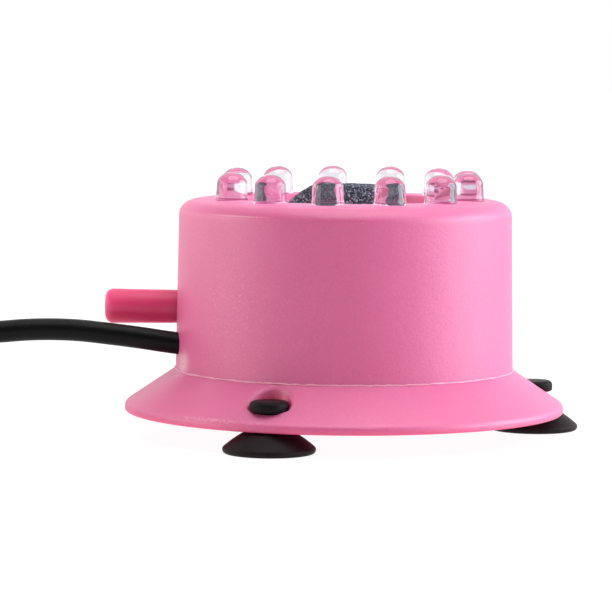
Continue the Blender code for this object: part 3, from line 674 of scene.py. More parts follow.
def strand_points(phase):
    """One strand from the loop's top: it winds outward along the coil and splays at its tip."""
    start = COIL_CENTRE + tie_along * (loop_high.x - TWIST_INSET) + UP * (loop_high.y + TWIST_LIFT)
    points = []
    for i in range(STRAND_STEPS + 1):
        share = i / STRAND_STEPS
        angle = phase + 2.0 * math.pi * TWIST_TURNS * share
        splay = 1.0 + SPLAY * max(0.0, share - SPLAY_FROM) / (1.0 - SPLAY_FROM)
        offset = tie_along * math.cos(angle) + UP * math.sin(angle)
        sag = UP * TWIST_SAG * share ** 2
        points.append(start + tie_side * TWIST_LENGTH * share + offset * TWIST_R * splay - sag)
    return points


def sweep(shape, points, radius, sides=10):
    """Adds a closed round rod along the points to a shape."""
    rings = []
    for i, point in enumerate(points):
        ahead = points[min(i + 1, len(points) - 1)] - points[max(i - 1, 0)]
        turn = UP.rotation_difference(ahead)
        ring = []
        for side in range(sides):
            angle = 2.0 * math.pi * side / sides
            spoke = turn @ Vector((math.cos(angle), math.sin(angle), 0.0))
            ring.append(shape.verts.new(point + spoke * radius))
        rings.append(ring)
    span(shape, rings)
    shape.faces.new(rings[0])
    shape.faces.new(rings[-1])


twist = tie_shape()
for phase in (0.0, math.pi):
    sweep(twist, strand_points(phase), STRAND_R)
bmesh.ops.recalc_face_normals(twist, faces=twist.faces)
coil_tie = new_piece("coil_twist_tie", twist, tie_finish)
show(coil_tie, "root", ["coil_tie"])

show(power_cable, "root", ["cable_lead", "cable_coil", "cable_tail"])

# %% [markdown]
# The housing and the skirt are moulded in one pink plastic. The mould was spark-eroded, which leaves a
# fine even grain. Two sizes of noise feed a shallow bump, and the roughness varies with them. On the left
# of the drum, fine pale specks are painted glints that stand for the grain's sparkle, strongest at one
# spot. Handling has scuffed the front of the rim, a parting line shows on the shoulder, and a paler,
# smoother patch lies on the wall below the lead. The pockets, and every pink surface lower than the
# skirt's slope, are painted a deeper pink, a painted glow for the light that bounces between the pocket
# walls. All of these are masks in object coordinates.

# %% Finish of the pink moulding
PINK_DEEP = (0.690, 0.107, 0.284)
PINK_LIGHT = (0.760, 0.133, 0.326)
# Pale pink of the scuffs, of the parting line and of the painted glints.
PINK_SCUFF_AND_GLINT = (0.880, 0.420, 0.550)
# Paler pink of the smooth patch on the wall below the lead.
PINK_PALE_PATCH = (0.850, 0.330, 0.460)
# Deeper pink of the painted glow in the pockets and below the skirt's slope.
PINK_POCKET_GLOW = (0.860, 0.075, 0.235)
SCUFF_R = 0.0346
SCUFF_Z = 0.00500
SCUFF_SPOT = (-0.0206, -0.0278, 0.0050)
SCUFF_SPREAD = 0.0130
PARTING_Z = 0.03530
PARTING_SPOT = (-0.0163, -0.0206, 0.0353)
GLINT_SPOT = (-0.0165, -0.0205, 0.0200)
SUNK_SLOPE = 0.674
PALE_PATCH_SPOT = (-0.0250, -0.0094, 0.0116)
PALE_PATCH_SPREAD = 0.0032
PARTING_SPREAD = 0.0070
PARTING_SHARE = 0.8
# Reach and strength of the painted glints on the left of the drum.
GLINT_SPREAD = 0.0170
GLINT_SHARE = 0.3
pink_finish = Finish(
    "pink_spark_grain", Specular_IOR_Level=1.0, Subsurface_Weight=0.35, Subsurface_Scale=0.002,
    Subsurface_Radius=(1.0, 0.3, 0.5))
pink_cloud = pink_finish.noise(0.006, 3.0)
pink_grain = pink_finish.noise(0.00036, 2.0, 0.6)
pink_pits = pink_finish.noise(0.00075, 2.0)


def pink_patch(point, spread):
    """Mask that is 1 at a point and fades to 0 at the spread."""
    reach = pink_finish.where.vector("SUBTRACT", pink_finish.where, point).length()
    return sharpen(reach, spread, spread * 0.1)


def distance_from(value, middle):
    return value.maths("ABSOLUTE", value - middle, 0.0)


pink_radius = pink_finish.where.vector("MULTIPLY", pink_finish.where, (1.0, 1.0, 0.0)).length()
pink_height = pink_finish.sheet.node("ShaderNodeSeparateXYZ", {}, {"Vector": pink_finish.where}, out="Z")
rim_near = distance_from(pink_height, SCUFF_Z) + distance_from(pink_radius, SCUFF_R)
worn = pink_patch(SCUFF_SPOT, SCUFF_SPREAD) * sharpen(pink_finish.noise(0.006, 2.0), 0.30, 0.56)
scuffs = sharpen(rim_near, 0.0006, 0.0001) * worn * sharpen(pink_finish.noise(0.0004, 2.0), 0.38, 0.66)
parting_line = sharpen(distance_from(pink_height, PARTING_Z), 0.00012, 0.00003)
parting = PARTING_SHARE * parting_line * pink_patch(PARTING_SPOT, PARTING_SPREAD)
# Painted glints: fine pale specks on the left of the drum stand in for the grain's sparkle.
painted_glint_dots = sharpen(pink_finish.noise(0.00030, 1.0), 0.62, 0.72)
painted_glints = GLINT_SHARE * painted_glint_dots * pink_patch(GLINT_SPOT, GLINT_SPREAD)
# Painted glow: pink surfaces lower than the skirt's slope, the pockets among them, are painted a deeper pink
# for light bouncing between the pocket walls.
painted_pocket_glow = sharpen(SEAM_Z - pink_height - SUNK_SLOPE * (pink_radius - DRUM_SEAM_R), 0.0003, 0.0012)
# A paler, smoother patch on the wall below the lead.
pale_patch = pink_patch(PALE_PATCH_SPOT, PALE_PATCH_SPREAD) * sharpen(pink_finish.noise(0.0016, 2.0), 0.30, 0.55)
pink_mix = 0.3 * sharpen(pink_cloud, 0.3, 0.7) + 0.7 * sharpen(pink_grain, 0.32, 0.68)
pink_shade = pink_finish.blend(pink_mix, PINK_DEEP, PINK_LIGHT)
pale_marks = ((scuffs, PINK_SCUFF_AND_GLINT), (parting, PINK_SCUFF_AND_GLINT), (painted_glints, PINK_SCUFF_AND_GLINT), (pale_patch, PINK_PALE_PATCH))
for mask, colour in ((painted_pocket_glow, PINK_POCKET_GLOW), *pale_marks):
    pink_shade = pink_finish.sheet.node("ShaderNodeMix", {"data_type": "RGBA"}, {
        "Factor": mask, "A": pink_shade, "B": (*colour, 1.0)}, out="Result")
pink_finish.link("Base Color", pink_shade)
pink_finish.link("Roughness", 0.34 + 0.20 * pink_grain + 0.08 * pink_pits - 0.20 * pale_patch)
pink_finish.bump(0.75 * pink_grain + 0.25 * pink_pits, 0.00010, 0.52)
print("pink finish made")

# %% [markdown]
# The drum is a cup turned upside down: a wall with a little draft, a tight shoulder with a fine parting
# line, a gently crowned ring for the LEDs and a shallow recess round the stone. Its profile is drawn once
# with small steps and turned, so every edge has its round. The holes for the LEDs, the nipple and the
# cable are cut afterwards.

# %% Profile of the drum
CROWN_ROUND = 0.0220
CREST_ROUND = 0.00275
WALL_ROUND = 0.0046
PARTING_ABOVE = math.radians(22.0)
PARTING_BELOW = math.radians(11.0)
RECESS_R = 0.0170
RECESS_Z = 0.03565
RECESS_EDGE = 0.00056
CEILING_Z = 0.03425
CEILING_EDGE = 0.0008
STONE_HOLE_R = 0.0100
SPIGOT_R = 0.0256
SPIGOT_Z = 0.00575
DRUM_STEPS = 240


def crown_height(radius):
    rise = math.sqrt(CROWN_ROUND ** 2 - (radius - LED_RING_R) ** 2)
    return TOP_Z - CROWN_ROUND + rise


def drum_profile():
    parting_r = DRUM_TOP_R - WALL_ROUND * (1.0 - math.cos(PARTING_BELOW))
    crest_r = parting_r - CREST_ROUND * math.cos(PARTING_ABOVE)
    lean = math.asin((crest_r - LED_RING_R) / (CROWN_ROUND - CREST_ROUND))
    crest_start = RECESS_R + RECESS_EDGE
    crest_end = LED_RING_R + CROWN_ROUND * math.sin(lean)
    crest_z = crown_height(crest_end) - CREST_ROUND * math.cos(lean)
    wall_z = crest_z + CREST_ROUND * math.sin(PARTING_ABOVE) - WALL_ROUND * math.sin(PARTING_BELOW)
    points = [(STONE_HOLE_R, RECESS_Z)]
    points += run((STONE_HOLE_R, RECESS_Z), (RECESS_R - RECESS_EDGE, RECESS_Z), 8)[:-1]
    points += arc(RECESS_R - RECESS_EDGE, RECESS_Z + RECESS_EDGE, RECESS_EDGE, -QUARTER, 0.0, 6)
    points += arc(crest_start, crown_height(crest_start) - RECESS_EDGE, RECESS_EDGE, math.pi, QUARTER, 6)
    for i in range(1, 14):
        radius = crest_start + (crest_end - crest_start) * i / 14
        points.append((radius, crown_height(radius)))
    points += arc(crest_r, crest_z, CREST_ROUND, QUARTER - lean, PARTING_ABOVE, 11)
    points += arc(DRUM_TOP_R - WALL_ROUND, wall_z, WALL_ROUND, PARTING_BELOW, 0.0, 5)[1:]
    points += run(points[-1], (DRUM_SEAM_R, SEAM_Z + SEAM_GAP / 2), 22)
    points += [
        (SPIGOT_R, SEAM_Z + SEAM_GAP / 2),
        (SPIGOT_R, SPIGOT_Z),
        (DRUM_INNER_R, SPIGOT_Z),
        (DRUM_INNER_R, CEILING_Z - CEILING_EDGE),
        (DRUM_INNER_R - CEILING_EDGE, CEILING_Z),
        (STONE_HOLE_R, CEILING_Z),
    ]
    return points


drum = new_piece("pink_drum", turned(drum_profile(), DRUM_STEPS, ring=True), pink_finish)

# %% Holes in the drum
LED_HOLE_R = 0.00253
HOLE_FLARE = 0.00012
HOLE_OVER = 0.0020
HOLE_LIP = -0.0004
HOLE_DEEP = -0.0060
WALL_FACE = 0.0265
SIDE_START = 0.0205
SIDE_LONG = 0.0100
NIPPLE_HOLE_R = 0.00275
NIPPLE_HOLE_EASE = 0.00025
CABLE_HOLE_R = 0.00182
CABLE_HOLE_EASE = 0.00012


def led_holes():
    """Holes that hug the lenses at the top and widen below, so that a leaning LED still fits."""
    holes = bmesh.new()
    profile = [
        (0.0, HOLE_OVER),
        (LED_HOLE_R, HOLE_OVER),
        (LED_HOLE_R, HOLE_LIP),
        (LED_HOLE_R + HOLE_FLARE, HOLE_LIP * 2),
        (LED_HOLE_R + HOLE_FLARE, HOLE_DEEP),
        (0.0, HOLE_DEEP),
    ]
    for place_number in range(1, LED_PLACES):
        angle = -QUARTER + 2.0 * math.pi * place_number / LED_PLACES
        place = Matrix.Translation(ring_point(LED_RING_R, angle, TOP_Z))
        add_shape(holes, moved(turned(profile, 48), place))
    return holes


def side_hole(y, height, radius, ease):
    """Round hole through the wall on the nipple's side, with its outer edge eased."""
    wall = WALL_FACE - SIDE_START
    profile = [(0.0, 0.0), (radius, 0.0), (radius, wall), (radius + ease, wall + ease)]
    profile += [(radius + ease, SIDE_LONG), (0.0, SIDE_LONG)]
    lie = Matrix.Translation((-SIDE_START, y, height)) @ Matrix.Rotation(-QUARTER, 4, "Y")
    return moved(turned(profile, 64), lie)


cut(drum, led_holes())
cut(drum, side_hole(0.0, NIPPLE_Z, NIPPLE_HOLE_R, NIPPLE_HOLE_EASE))
cut(drum, side_hole(CABLE_Y, CABLE_Z, CABLE_HOLE_R, CABLE_HOLE_EASE))
show(drum, "root", ["upper_housing"])

# %% [markdown]
# The base is a floor with a wide conical skirt. Three round pockets in the slope show the heads of the
# suction cups. The mould leaves their edges soft, so each pocket is cut with a flared tool whose rim
# follows the slope: a straight wall, then a quarter round that leaves the cone. Underneath, the skirt is
# cored out between bosses and ribs.

# %% Skirt before the pockets
SKIRT_R = 0.03486
SKIRT_ROUND = 0.00110
ROUND_R = SKIRT_R - SKIRT_ROUND
RIM_Z = 0.00345
RIM_EDGE = 0.0003
RIM_BAND = 0.00033
ROUND_Z = RIM_Z + RIM_EDGE + RIM_BAND
SKIRT_CHORD = math.hypot(ROUND_R - DRUM_SEAM_R, SEAM_Z - ROUND_Z)
SKIRT_SLOPE = math.atan2(SEAM_Z - ROUND_Z, ROUND_R - DRUM_SEAM_R) - math.asin(SKIRT_ROUND / SKIRT_CHORD)
SOCKET_R = 0.0259
FLOOR_Z = 0.00545
SEAM_TOP = SEAM_Z - SEAM_GAP / 2


def skirt_height(radius):
    return SEAM_Z - (radius - DRUM_SEAM_R) * math.tan(SKIRT_SLOPE)


slope_start = (DRUM_SEAM_R + SEAM_GAP / 2 / math.tan(SKIRT_SLOPE), SEAM_TOP)
rim_round = arc(ROUND_R, ROUND_Z, SKIRT_ROUND, QUARTER - SKIRT_SLOPE, 0.0, 10)
base_profile = [(0.0, FLOOR_Z), (SOCKET_R, FLOOR_Z), (SOCKET_R, SEAM_TOP), slope_start]
base_profile += run(slope_start, rim_round[0], 12) + rim_round[1:]
base_profile += arc(SKIRT_R - RIM_EDGE, RIM_Z + RIM_EDGE, RIM_EDGE, 0.0, -QUARTER, 5) + [(0.0, RIM_Z)]
base = new_piece("pink_base", turned(base_profile, DRUM_STEPS), pink_finish)

# %% Core underneath, between bosses and ribs
CUP_ANGLES = (math.radians(-20.5), math.radians(99.5), math.radians(219.5))
CUP_RING_R = 0.0308
BOSS_R = 0.0045
CORE_IN = 0.0272
CORE_OUT = 0.0336
CORE_ROOF = 0.0017 / math.cos(SKIRT_SLOPE)
RIBS_PER_CUP = 2
RIB_SIZE = (0.0012, 0.0095, 0.06)
RIB_RING_R = 0.0304
BELOW_RIM = RIM_Z - 0.001
BOSS_LOW = -0.01
BOSS_HIGH = 0.02
core_profile = [
    (CORE_IN, skirt_height(CORE_IN) - CORE_ROOF),
    (CORE_OUT, max(skirt_height(CORE_OUT) - CORE_ROOF, RIM_Z + RIM_EDGE)),
    (CORE_OUT, BELOW_RIM),
    (CORE_IN, BELOW_RIM),
]
core = new_piece("skirt_core", turned(core_profile, DRUM_STEPS, ring=True))
rib_step = (CUP_ANGLES[1] - CUP_ANGLES[0]) / (RIBS_PER_CUP + 1)
for cup_angle in CUP_ANGLES:
    boss = turned([(0.0, BOSS_HIGH), (BOSS_R, BOSS_HIGH), (BOSS_R, BOSS_LOW), (0.0, BOSS_LOW)], 64)
    cut(core, moved(boss, Matrix.Translation(ring_point(CUP_RING_R, cup_angle))))
    for number in range(1, RIBS_PER_CUP + 1):
        rib_angle = cup_angle + number * rib_step
        rib = bmesh.new()
        lie = Matrix.Translation(ring_point(RIB_RING_R, rib_angle)) @ Matrix.Rotation(rib_angle, 4, "Z")
        bmesh.ops.create_cube(rib, size=1.0, matrix=lie @ Matrix.Diagonal((*RIB_SIZE, 1.0)))
        cut(core, rib)
core_shape = bmesh.new()
core_shape.from_mesh(core.data)
bpy.data.meshes.remove(core.data)
cut(base, core_shape)

# %% Pockets with soft edges
POCKET_R = 0.0033
POCKET_Z = 0.00595
POCKET_FRONT = 0.0024
POCKET_EASE = 0.00055
STEM_HOLE_R = 0.0019
POCKET_EDGE = 0.00035
POCKET_FILLET = 0.0001
POCKET_LEDGE = 0.0004
POCKET_STEPS = 72
POCKET_OVER = 0.0125
FLARE_OUT = POCKET_EASE * 1.1
FLARE_UP = POCKET_EASE * 0.12


def pocket_shape(cup_angle):
    """Tool for one pocket: shorter down the slope, with a rim that flares out of it."""
    centre = ring_point(CUP_RING_R, cup_angle)
    outward = centre.normalized()
    shape = bmesh.new()
    rows = []
    flare = [math.radians(a) for a in (0.0, 22.0, 45.0, 68.0)]
    for i in range(POCKET_STEPS):
        turn = 2.0 * math.pi * i / POCKET_STEPS
        spoke = Vector((math.cos(turn), math.sin(turn), 0.0))
        ahead = max(spoke.dot(outward), 0.0)
        wall = 1.0 / math.hypot(ahead / POCKET_FRONT, math.sqrt(1.0 - ahead ** 2) / POCKET_R)

        def at(radius, height):
            return centre + spoke * radius + Vector((0.0, 0.0, height))

        def rim_at(radius, below):
            slope = min(skirt_height((centre + spoke * radius).length), SEAM_Z)
            return at(radius, max(slope - below, POCKET_Z + POCKET_LEDGE + radius - wall))

        column = [at(STEM_HOLE_R, BELOW_RIM), at(STEM_HOLE_R, POCKET_Z)]
        column += [at(wall - POCKET_EDGE, POCKET_Z), at(wall - POCKET_FILLET, POCKET_Z + POCKET_FILLET)]
        column += [at(wall, POCKET_Z + POCKET_EDGE)]
        for a in flare:
            out = POCKET_EASE * (1.0 - math.cos(a))
            column.append(rim_at(wall + out, POCKET_EASE * (1.0 - math.sin(a))))
        column += [rim_at(wall + FLARE_OUT, -FLARE_UP), at(wall + FLARE_OUT, POCKET_OVER)]
        rows.append([shape.verts.new(point) for point in column])
    for first, second in zip(rows, rows[1:] + rows[:1]):
        for i in range(len(first) - 1):
            shape.faces.new((first[i], second[i], second[i + 1], first[i + 1]))
    shape.faces.new([row[0] for row in rows])
    shape.faces.new([row[-1] for row in rows])
    bmesh.ops.recalc_face_normals(shape, faces=shape.faces)
    return shape


for cup_angle in CUP_ANGLES:
    cut(base, pocket_shape(cup_angle))
show(base, "root", ["base_skirt"])

# %% [markdown]
# Where drum and skirt are glued, a little plastic and glue squeezed out and set as an uneven pale line. A
# node tree makes it: a circle with many points is pushed about by noise, and a small round profile with a
# varying radius is swept along it.

# %% Flash along the seam
flash_finish = Finish("pale_seam_flash", Specular_IOR_Level=0.5)
flash_cloud = flash_finish.noise(0.0012, 2.0)
flash_finish.dress(
    (flash_cloud, (0.87, 0.28, 0.45), (0.93, 0.48, 0.62)),
    0.28 + 0.2 * flash_cloud, (flash_finish.noise(0.0003, 2.0), 0.00004, 0.6))
SEAM_STEPS = 720
BEAD_SIDES = 8
JOG_SCALE = 900.0
SWELL_SCALE = 420.0


def seam_tree(sheet, sizes):
    ring = sheet.node("GeometryNodeCurvePrimitiveCircle", {}, {
        "Resolution": SEAM_STEPS, "Radius": sizes["Seam radius"]})
    place = sheet.node("GeometryNodeInputPosition")
    jog = sheet.node("ShaderNodeTexNoise", {}, {"Vector": place, "Scale": JOG_SCALE, "Detail": 3.0}, "Color")
    jog = sheet.vector("SUBTRACT", jog, (0.5, 0.5, 0.5))
    jog = sheet.node("ShaderNodeVectorMath", {"operation": "SCALE"}, {0: jog, "Scale": sizes["Wander"]})
    lift = sheet.node("ShaderNodeCombineXYZ", {}, {"Z": sizes["Seam height"]})
    ring = sheet.node("GeometryNodeSetPosition", {}, {
        "Geometry": ring, "Offset": sheet.vector("ADD", jog, lift)})
    swell = sheet.node("ShaderNodeTexNoise", {}, {"Vector": place, "Scale": SWELL_SCALE, "Detail": 2.0})
    swell = sharpen(swell, 0.30, 0.72)
    profile = sheet.node("GeometryNodeCurvePrimitiveCircle", {}, {
        "Resolution": BEAD_SIDES, "Radius": sizes["Bead radius"]})
    bead = sheet.node("GeometryNodeCurveToMesh", {}, {
        "Curve": ring, "Profile Curve": profile, "Scale": 0.75 + 0.6 * swell})
    return sheet.node("GeometryNodeSetShadeSmooth", {}, {"Geometry": bead})


seam_sizes = {
    "Seam radius": 0.02688,
    "Seam height": SEAM_Z + 0.00002,
    "Wander": 0.00036,
    "Bead radius": 0.00013,
}
seam_flash = grown("seam_flash", seam_tree, seam_sizes, flash_finish)
show(seam_flash, "root")

# %% [markdown]
# The nipple takes a soft air hose. It is moulded smooth, in a deeper pink than the drum, swells a little
# towards its rounded end and has a bore right through to the air chamber. It is turned and laid along -X.

# %% Air nipple
nipple_finish = Finish(
    "deep_pink_smooth", Specular_IOR_Level=0.3, Subsurface_Weight=1.0, Subsurface_Scale=0.006,
    Subsurface_Radius=(1.0, 1.0, 1.0))
nipple_cloud = nipple_finish.noise(0.004, 3.0)
nipple_finish.dress(
    (nipple_cloud, (0.900, 0.060, 0.185), (0.930, 0.070, 0.205)),
    0.30 + 0.12 * nipple_finish.noise(0.0006, 3.0), (nipple_finish.noise(0.0009, 2.0), 0.00003, 0.4))

NIPPLE_TIP = 0.0381
NIPPLE_INNER = 0.0100
NIPPLE_ROUND = 0.00125
NIPPLE_BORE_R = 0.0013
NIPPLE_ROOT_R = 0.00265
NIPPLE_TIP_R = 0.00275
NIPPLE_MOUTH_R = 0.00145
NIPPLE_MOUTH = 0.0002
round_start = NIPPLE_TIP - NIPPLE_ROUND
nipple_root = (NIPPLE_ROOT_R, DRUM_SEAM_R)
nipple_profile = [(NIPPLE_BORE_R, NIPPLE_INNER), (NIPPLE_ROOT_R, NIPPLE_INNER), nipple_root]
nipple_profile += run(nipple_root, (NIPPLE_TIP_R, round_start), 14)
nipple_profile += arc(NIPPLE_TIP_R - NIPPLE_ROUND, round_start, NIPPLE_ROUND, 0.0, QUARTER, 10)[1:]
nipple_profile += [(NIPPLE_MOUTH_R, NIPPLE_TIP), (NIPPLE_BORE_R, NIPPLE_TIP - NIPPLE_MOUTH)]
nipple_lie = Matrix.Translation((0.0, 0.0, NIPPLE_Z)) @ Matrix.Rotation(-QUARTER, 4, "Y")
nipple_shape = moved(turned(nipple_profile, 72, ring=True), nipple_lie)
nipple = new_piece("hose_nipple", nipple_shape, nipple_finish)
show(nipple, "root", ["air_nipple"])

# %% [markdown]
# The LEDs are ordinary 5 mm ones cast in water-clear epoxy. Clear plastic looks right only when light
# really bends in it, so the lens is a closed solid with transmission, and the lead frame inside is
# modelled: two posts, a little reflector cup, the chip in it and the bond wire. One template of each is
# placed twelve times by a node tree. The thirteenth place, above the nipple, stays free. Hand-fitted LEDs
# never stand quite straight, hence the small lean. A thin foot of clear sealant closes the gap round each
# lens. The lenses cast no shadow, because clear plastic passes nearly all of the light.

# %% Finishes of the LEDs
EPOXY_TINT = (0.820, 0.785, 0.860, 1.0)
epoxy_finish = Finish("clear_epoxy", Transmission_Weight=0.98, IOR=1.53, Base_Color=EPOXY_TINT)
epoxy_finish.link("Roughness", 0.05 * sharpen(epoxy_finish.noise(0.0016, 2.0), 0.45, 0.8))

frame_finish = Finish("silver_lead_frame", Metallic=1.0)
frame_wear = frame_finish.noise(0.0005, 3.0)
frame_finish.dress((frame_wear, (0.62, 0.62, 0.63), (0.84, 0.84, 0.85)), 0.22 + 0.25 * frame_wear)
print("LED finishes made")

# %% Templates of the lens and of the lead frame
LENS_OUT = 0.0043
LENS_TIP_R = 0.0024
LENS_DOME = 0.0019
LENS_BASE_R = 0.0025
LENS_SEAT = -0.0033
FLANGE_R = 0.0029
FLANGE_WALL = 0.0010
FOOT_R = 0.00258
FOOT_LOW = -0.00025
FOOT_HIGH = 0.00034
FOOT_EDGE = 0.00006
FOOT_INSET = 0.00001
lens_profile = [
    (0.0, LENS_SEAT - FLANGE_WALL),
    (FLANGE_R, LENS_SEAT - FLANGE_WALL),
    (FLANGE_R, LENS_SEAT),
    (LENS_BASE_R, LENS_SEAT),
]
lens_profile += run((LENS_BASE_R, LENS_SEAT), (LENS_BASE_R, 2 * FOOT_LOW), 4)
lens_profile += [(FOOT_R, FOOT_LOW)]
lens_profile += arc(FOOT_R - FOOT_EDGE, FOOT_HIGH - FOOT_EDGE, FOOT_EDGE, 0.0, QUARTER, 4)
lens_profile += run((LENS_BASE_R - FOOT_INSET, FOOT_HIGH), (LENS_TIP_R, LENS_OUT - LENS_DOME), 6)
for across, rise in arc(0.0, 0.0, 1.0, 0.0, QUARTER, 18)[1:-1]:
    lens_profile.append((across * LENS_TIP_R, LENS_OUT - LENS_DOME + rise * LENS_DOME))
lens_profile.append((0.0, LENS_OUT))
lens_template = new_piece("lens_template", turned(lens_profile, 48))

LEG_BOTTOM = -0.0091
LEG_HALF = 0.00025
FRAME_FOOT = -0.0040
ANVIL_TOP = -0.0022
POST_TOP = -0.0016
WIRE_TOP = -0.0010
WIRE_R = 0.00003
WIRE_BEND = 0.0002
LEG_IN = 0.00102
LEG_OUT = 0.00152
FRAME_OUT = 0.00160
FRAME_HALF = 0.00026
ANVIL_IN = 0.00030
POST_IN = 0.00075
POST_OUT = 0.00125
DISH_X = -0.0004
DISH_FOOT_R = 0.00062
DISH_RIM_R = 0.00085
DISH_LIP_R = 0.00072
DISH_FLOOR_R = 0.00045
DISH_HIGH = 0.0008
DISH_FLOOR = 0.0004
CHIP_HALF = 0.00014
CHIP_TOP = ANVIL_TOP + 0.00056


def block(shape, low, high):
    middle = (Vector(low) + Vector(high)) / 2
    size = Vector(high) - Vector(low)
    place = Matrix.Translation(middle) @ Matrix.Diagonal((*size, 1.0))
    bmesh.ops.create_cube(shape, size=1.0, matrix=place)


def reflector():
    """The little dish on the anvil that holds the chip."""
    section = [(0.0, 0.0), (DISH_FOOT_R, 0.0), (DISH_RIM_R, DISH_HIGH), (DISH_LIP_R, DISH_HIGH)]
    section += [(DISH_FLOOR_R, DISH_FLOOR), (0.0, DISH_FLOOR)]
    return moved(turned(section, 20), Matrix.Translation((DISH_X, 0.0, ANVIL_TOP)))


parts = bmesh.new()
for leg_in, leg_out in ((-LEG_OUT, -LEG_IN), (LEG_IN, LEG_OUT)):
    block(parts, (leg_in, -LEG_HALF, LEG_BOTTOM), (leg_out, LEG_HALF, FRAME_FOOT))
block(parts, (-FRAME_OUT, -FRAME_HALF, FRAME_FOOT), (ANVIL_IN, FRAME_HALF, ANVIL_TOP))
block(parts, (POST_IN, -FRAME_HALF, FRAME_FOOT), (FRAME_OUT, FRAME_HALF, ANVIL_TOP))
block(parts, (POST_IN, -FRAME_HALF, ANVIL_TOP), (POST_OUT, FRAME_HALF, POST_TOP))
add_shape(parts, reflector())
chip_low = (DISH_X - CHIP_HALF, -CHIP_HALF, ANVIL_TOP + DISH_FLOOR)
block(parts, chip_low, (DISH_X + CHIP_HALF, CHIP_HALF, CHIP_TOP))
bond_wire = [
    (DISH_X, 0.0, CHIP_TOP),
    (-0.0002, 0.0, WIRE_TOP - WIRE_BEND),
    (0.0003, 0.0, WIRE_TOP),
    (0.0008, 0.0, WIRE_TOP - WIRE_BEND),
    (0.0010, 0.0, POST_TOP),
]
sweep(parts, smooth_route(bond_wire, 4), WIRE_R, 5)
bmesh.ops.recalc_face_normals(parts, faces=parts.faces)
frame_template = new_piece("frame_template", parts)

# %% Ring of twelve


def ring_tree(sheet, sizes):
    circle = sheet.node("GeometryNodeMeshCircle", {}, {
        "Vertices": sizes["Places"], "Radius": sizes["Ring radius"]})
    lift = sheet.node("ShaderNodeCombineXYZ", {}, {"Z": sizes["Height"]})
    circle = sheet.node("GeometryNodeTransform", {}, {
        "Geometry": circle, "Translation": lift, "Rotation": (0.0, 0.0, math.pi)})
    number = sheet.node("GeometryNodeInputIndex")
    free = sheet.node("FunctionNodeCompare", {"data_type": "INT", "operation": "EQUAL"}, {
        "A": number, "B": 0})
    circle = sheet.node("GeometryNodeDeleteGeometry", {"domain": "POINT"}, {
        "Geometry": circle, "Selection": free})
    lean_low = sheet.node("ShaderNodeCombineXYZ", {}, {"X": 0.0 - sizes["Lean"], "Y": 0.0 - sizes["Lean"]})
    lean_high = sheet.node("ShaderNodeCombineXYZ", {}, {"X": sizes["Lean"], "Y": sizes["Lean"]})
    lean = sheet.node("FunctionNodeRandomValue", {"data_type": "FLOAT_VECTOR"}, {
        "Min": lean_low, "Max": lean_high, "ID": number, "Seed": sizes["Seed"]})
    step = 2.0 * math.pi / LED_PLACES
    twist = sheet.node("ShaderNodeCombineXYZ", {}, {"Z": (number + 1.0) * step - QUARTER})
    template = sheet.node("GeometryNodeObjectInfo", {}, {"Object": sizes["Template"]}, out="Geometry")
    return sheet.node("GeometryNodeInstanceOnPoints", {}, {
        "Points": circle, "Instance": template, "Rotation": sheet.vector("ADD", lean, twist)})


ring_sizes = {
    "Places": LED_PLACES,
    "Ring radius": LED_RING_R,
    "Height": TOP_Z,
    "Lean": math.radians(1.3),
    "Seed": 5,
}
led_nodes = [f"led_{number:02d}" for number in range(1, LED_PLACES)]
lenses = grown("led_lenses", ring_tree, {**ring_sizes, "Template": lens_template}, epoxy_finish)
lenses.visible_shadow = False
show(lenses, "root", led_nodes)
lead_frames = grown("led_lead_frames", ring_tree, {**ring_sizes, "Template": frame_template}, frame_finish)
show(lead_frames, "root")
for template in (lens_template, frame_template):
    bpy.data.meshes.remove(template.data)

# %% [markdown]
# The stone is sintered from coarse grains, so air can creep out between them all over its dome. A smooth
# dome with a bump would look painted. Here a turned core carries thousands of small angular grains,
# scattered on its surface by a node tree with a fixed seed. Each grain stores a random tint that the
# finish reads.

# %% Finish of the stone
stone_finish = Finish("sintered_grains", Roughness=0.85, Specular_IOR_Level=0.35)
tint = stone_finish.sheet.node("ShaderNodeAttribute", {"attribute_name": "grain_tint"}, out="Fac")
stone_finish.link("Base Color", stone_finish.sheet.node("ShaderNodeValToRGB", {"stops": (
    (0.0, (0.020, 0.023, 0.033)),
    (0.45, (0.078, 0.084, 0.118)),
    (0.80, (0.190, 0.200, 0.260)),
    (1.0, (0.480, 0.490, 0.560)),
)}, {"Fac": tint}))
stone_finish.link("Roughness", 0.70 + 0.25 * stone_finish.noise(0.0003, 2.0))
stone_finish.bump(stone_finish.noise(0.00012, 2.0), 0.00004, 0.6)

# %% Core and grains
STONE_R = 0.0097
STONE_TOP_R = 0.0051
STONE_TOP_Z = TOP_Z + 0.00205
STONE_BASE_Z = 0.03195
STONE_BULGE = 0.00035
GRAIN_R = 0.00019
GRAIN_SUNK = GRAIN_R * 0.6
BULGE_STEPS = 16
FULL_TURN = (6.28, 6.28, 6.28)


def stone_profile():
    top = Vector((STONE_TOP_R, STONE_TOP_Z))
    edge = Vector((STONE_R, RECESS_Z))
    chord = (edge - top).normalized()
    outward = Vector((-chord.y, chord.x))
    points = [(0.0, STONE_TOP_Z), (STONE_TOP_R * 0.5, STONE_TOP_Z)]
    for i in range(BULGE_STEPS + 1):
        share = i / BULGE_STEPS
        points.append(tuple(top.lerp(edge, share) + outward * 4.0 * STONE_BULGE * share * (1.0 - share)))
    points = [(max(radius - GRAIN_SUNK, 0.0), height - GRAIN_SUNK) for radius, height in points]
    return points + [(STONE_R - GRAIN_SUNK, STONE_BASE_Z), (0.0, STONE_BASE_Z)]


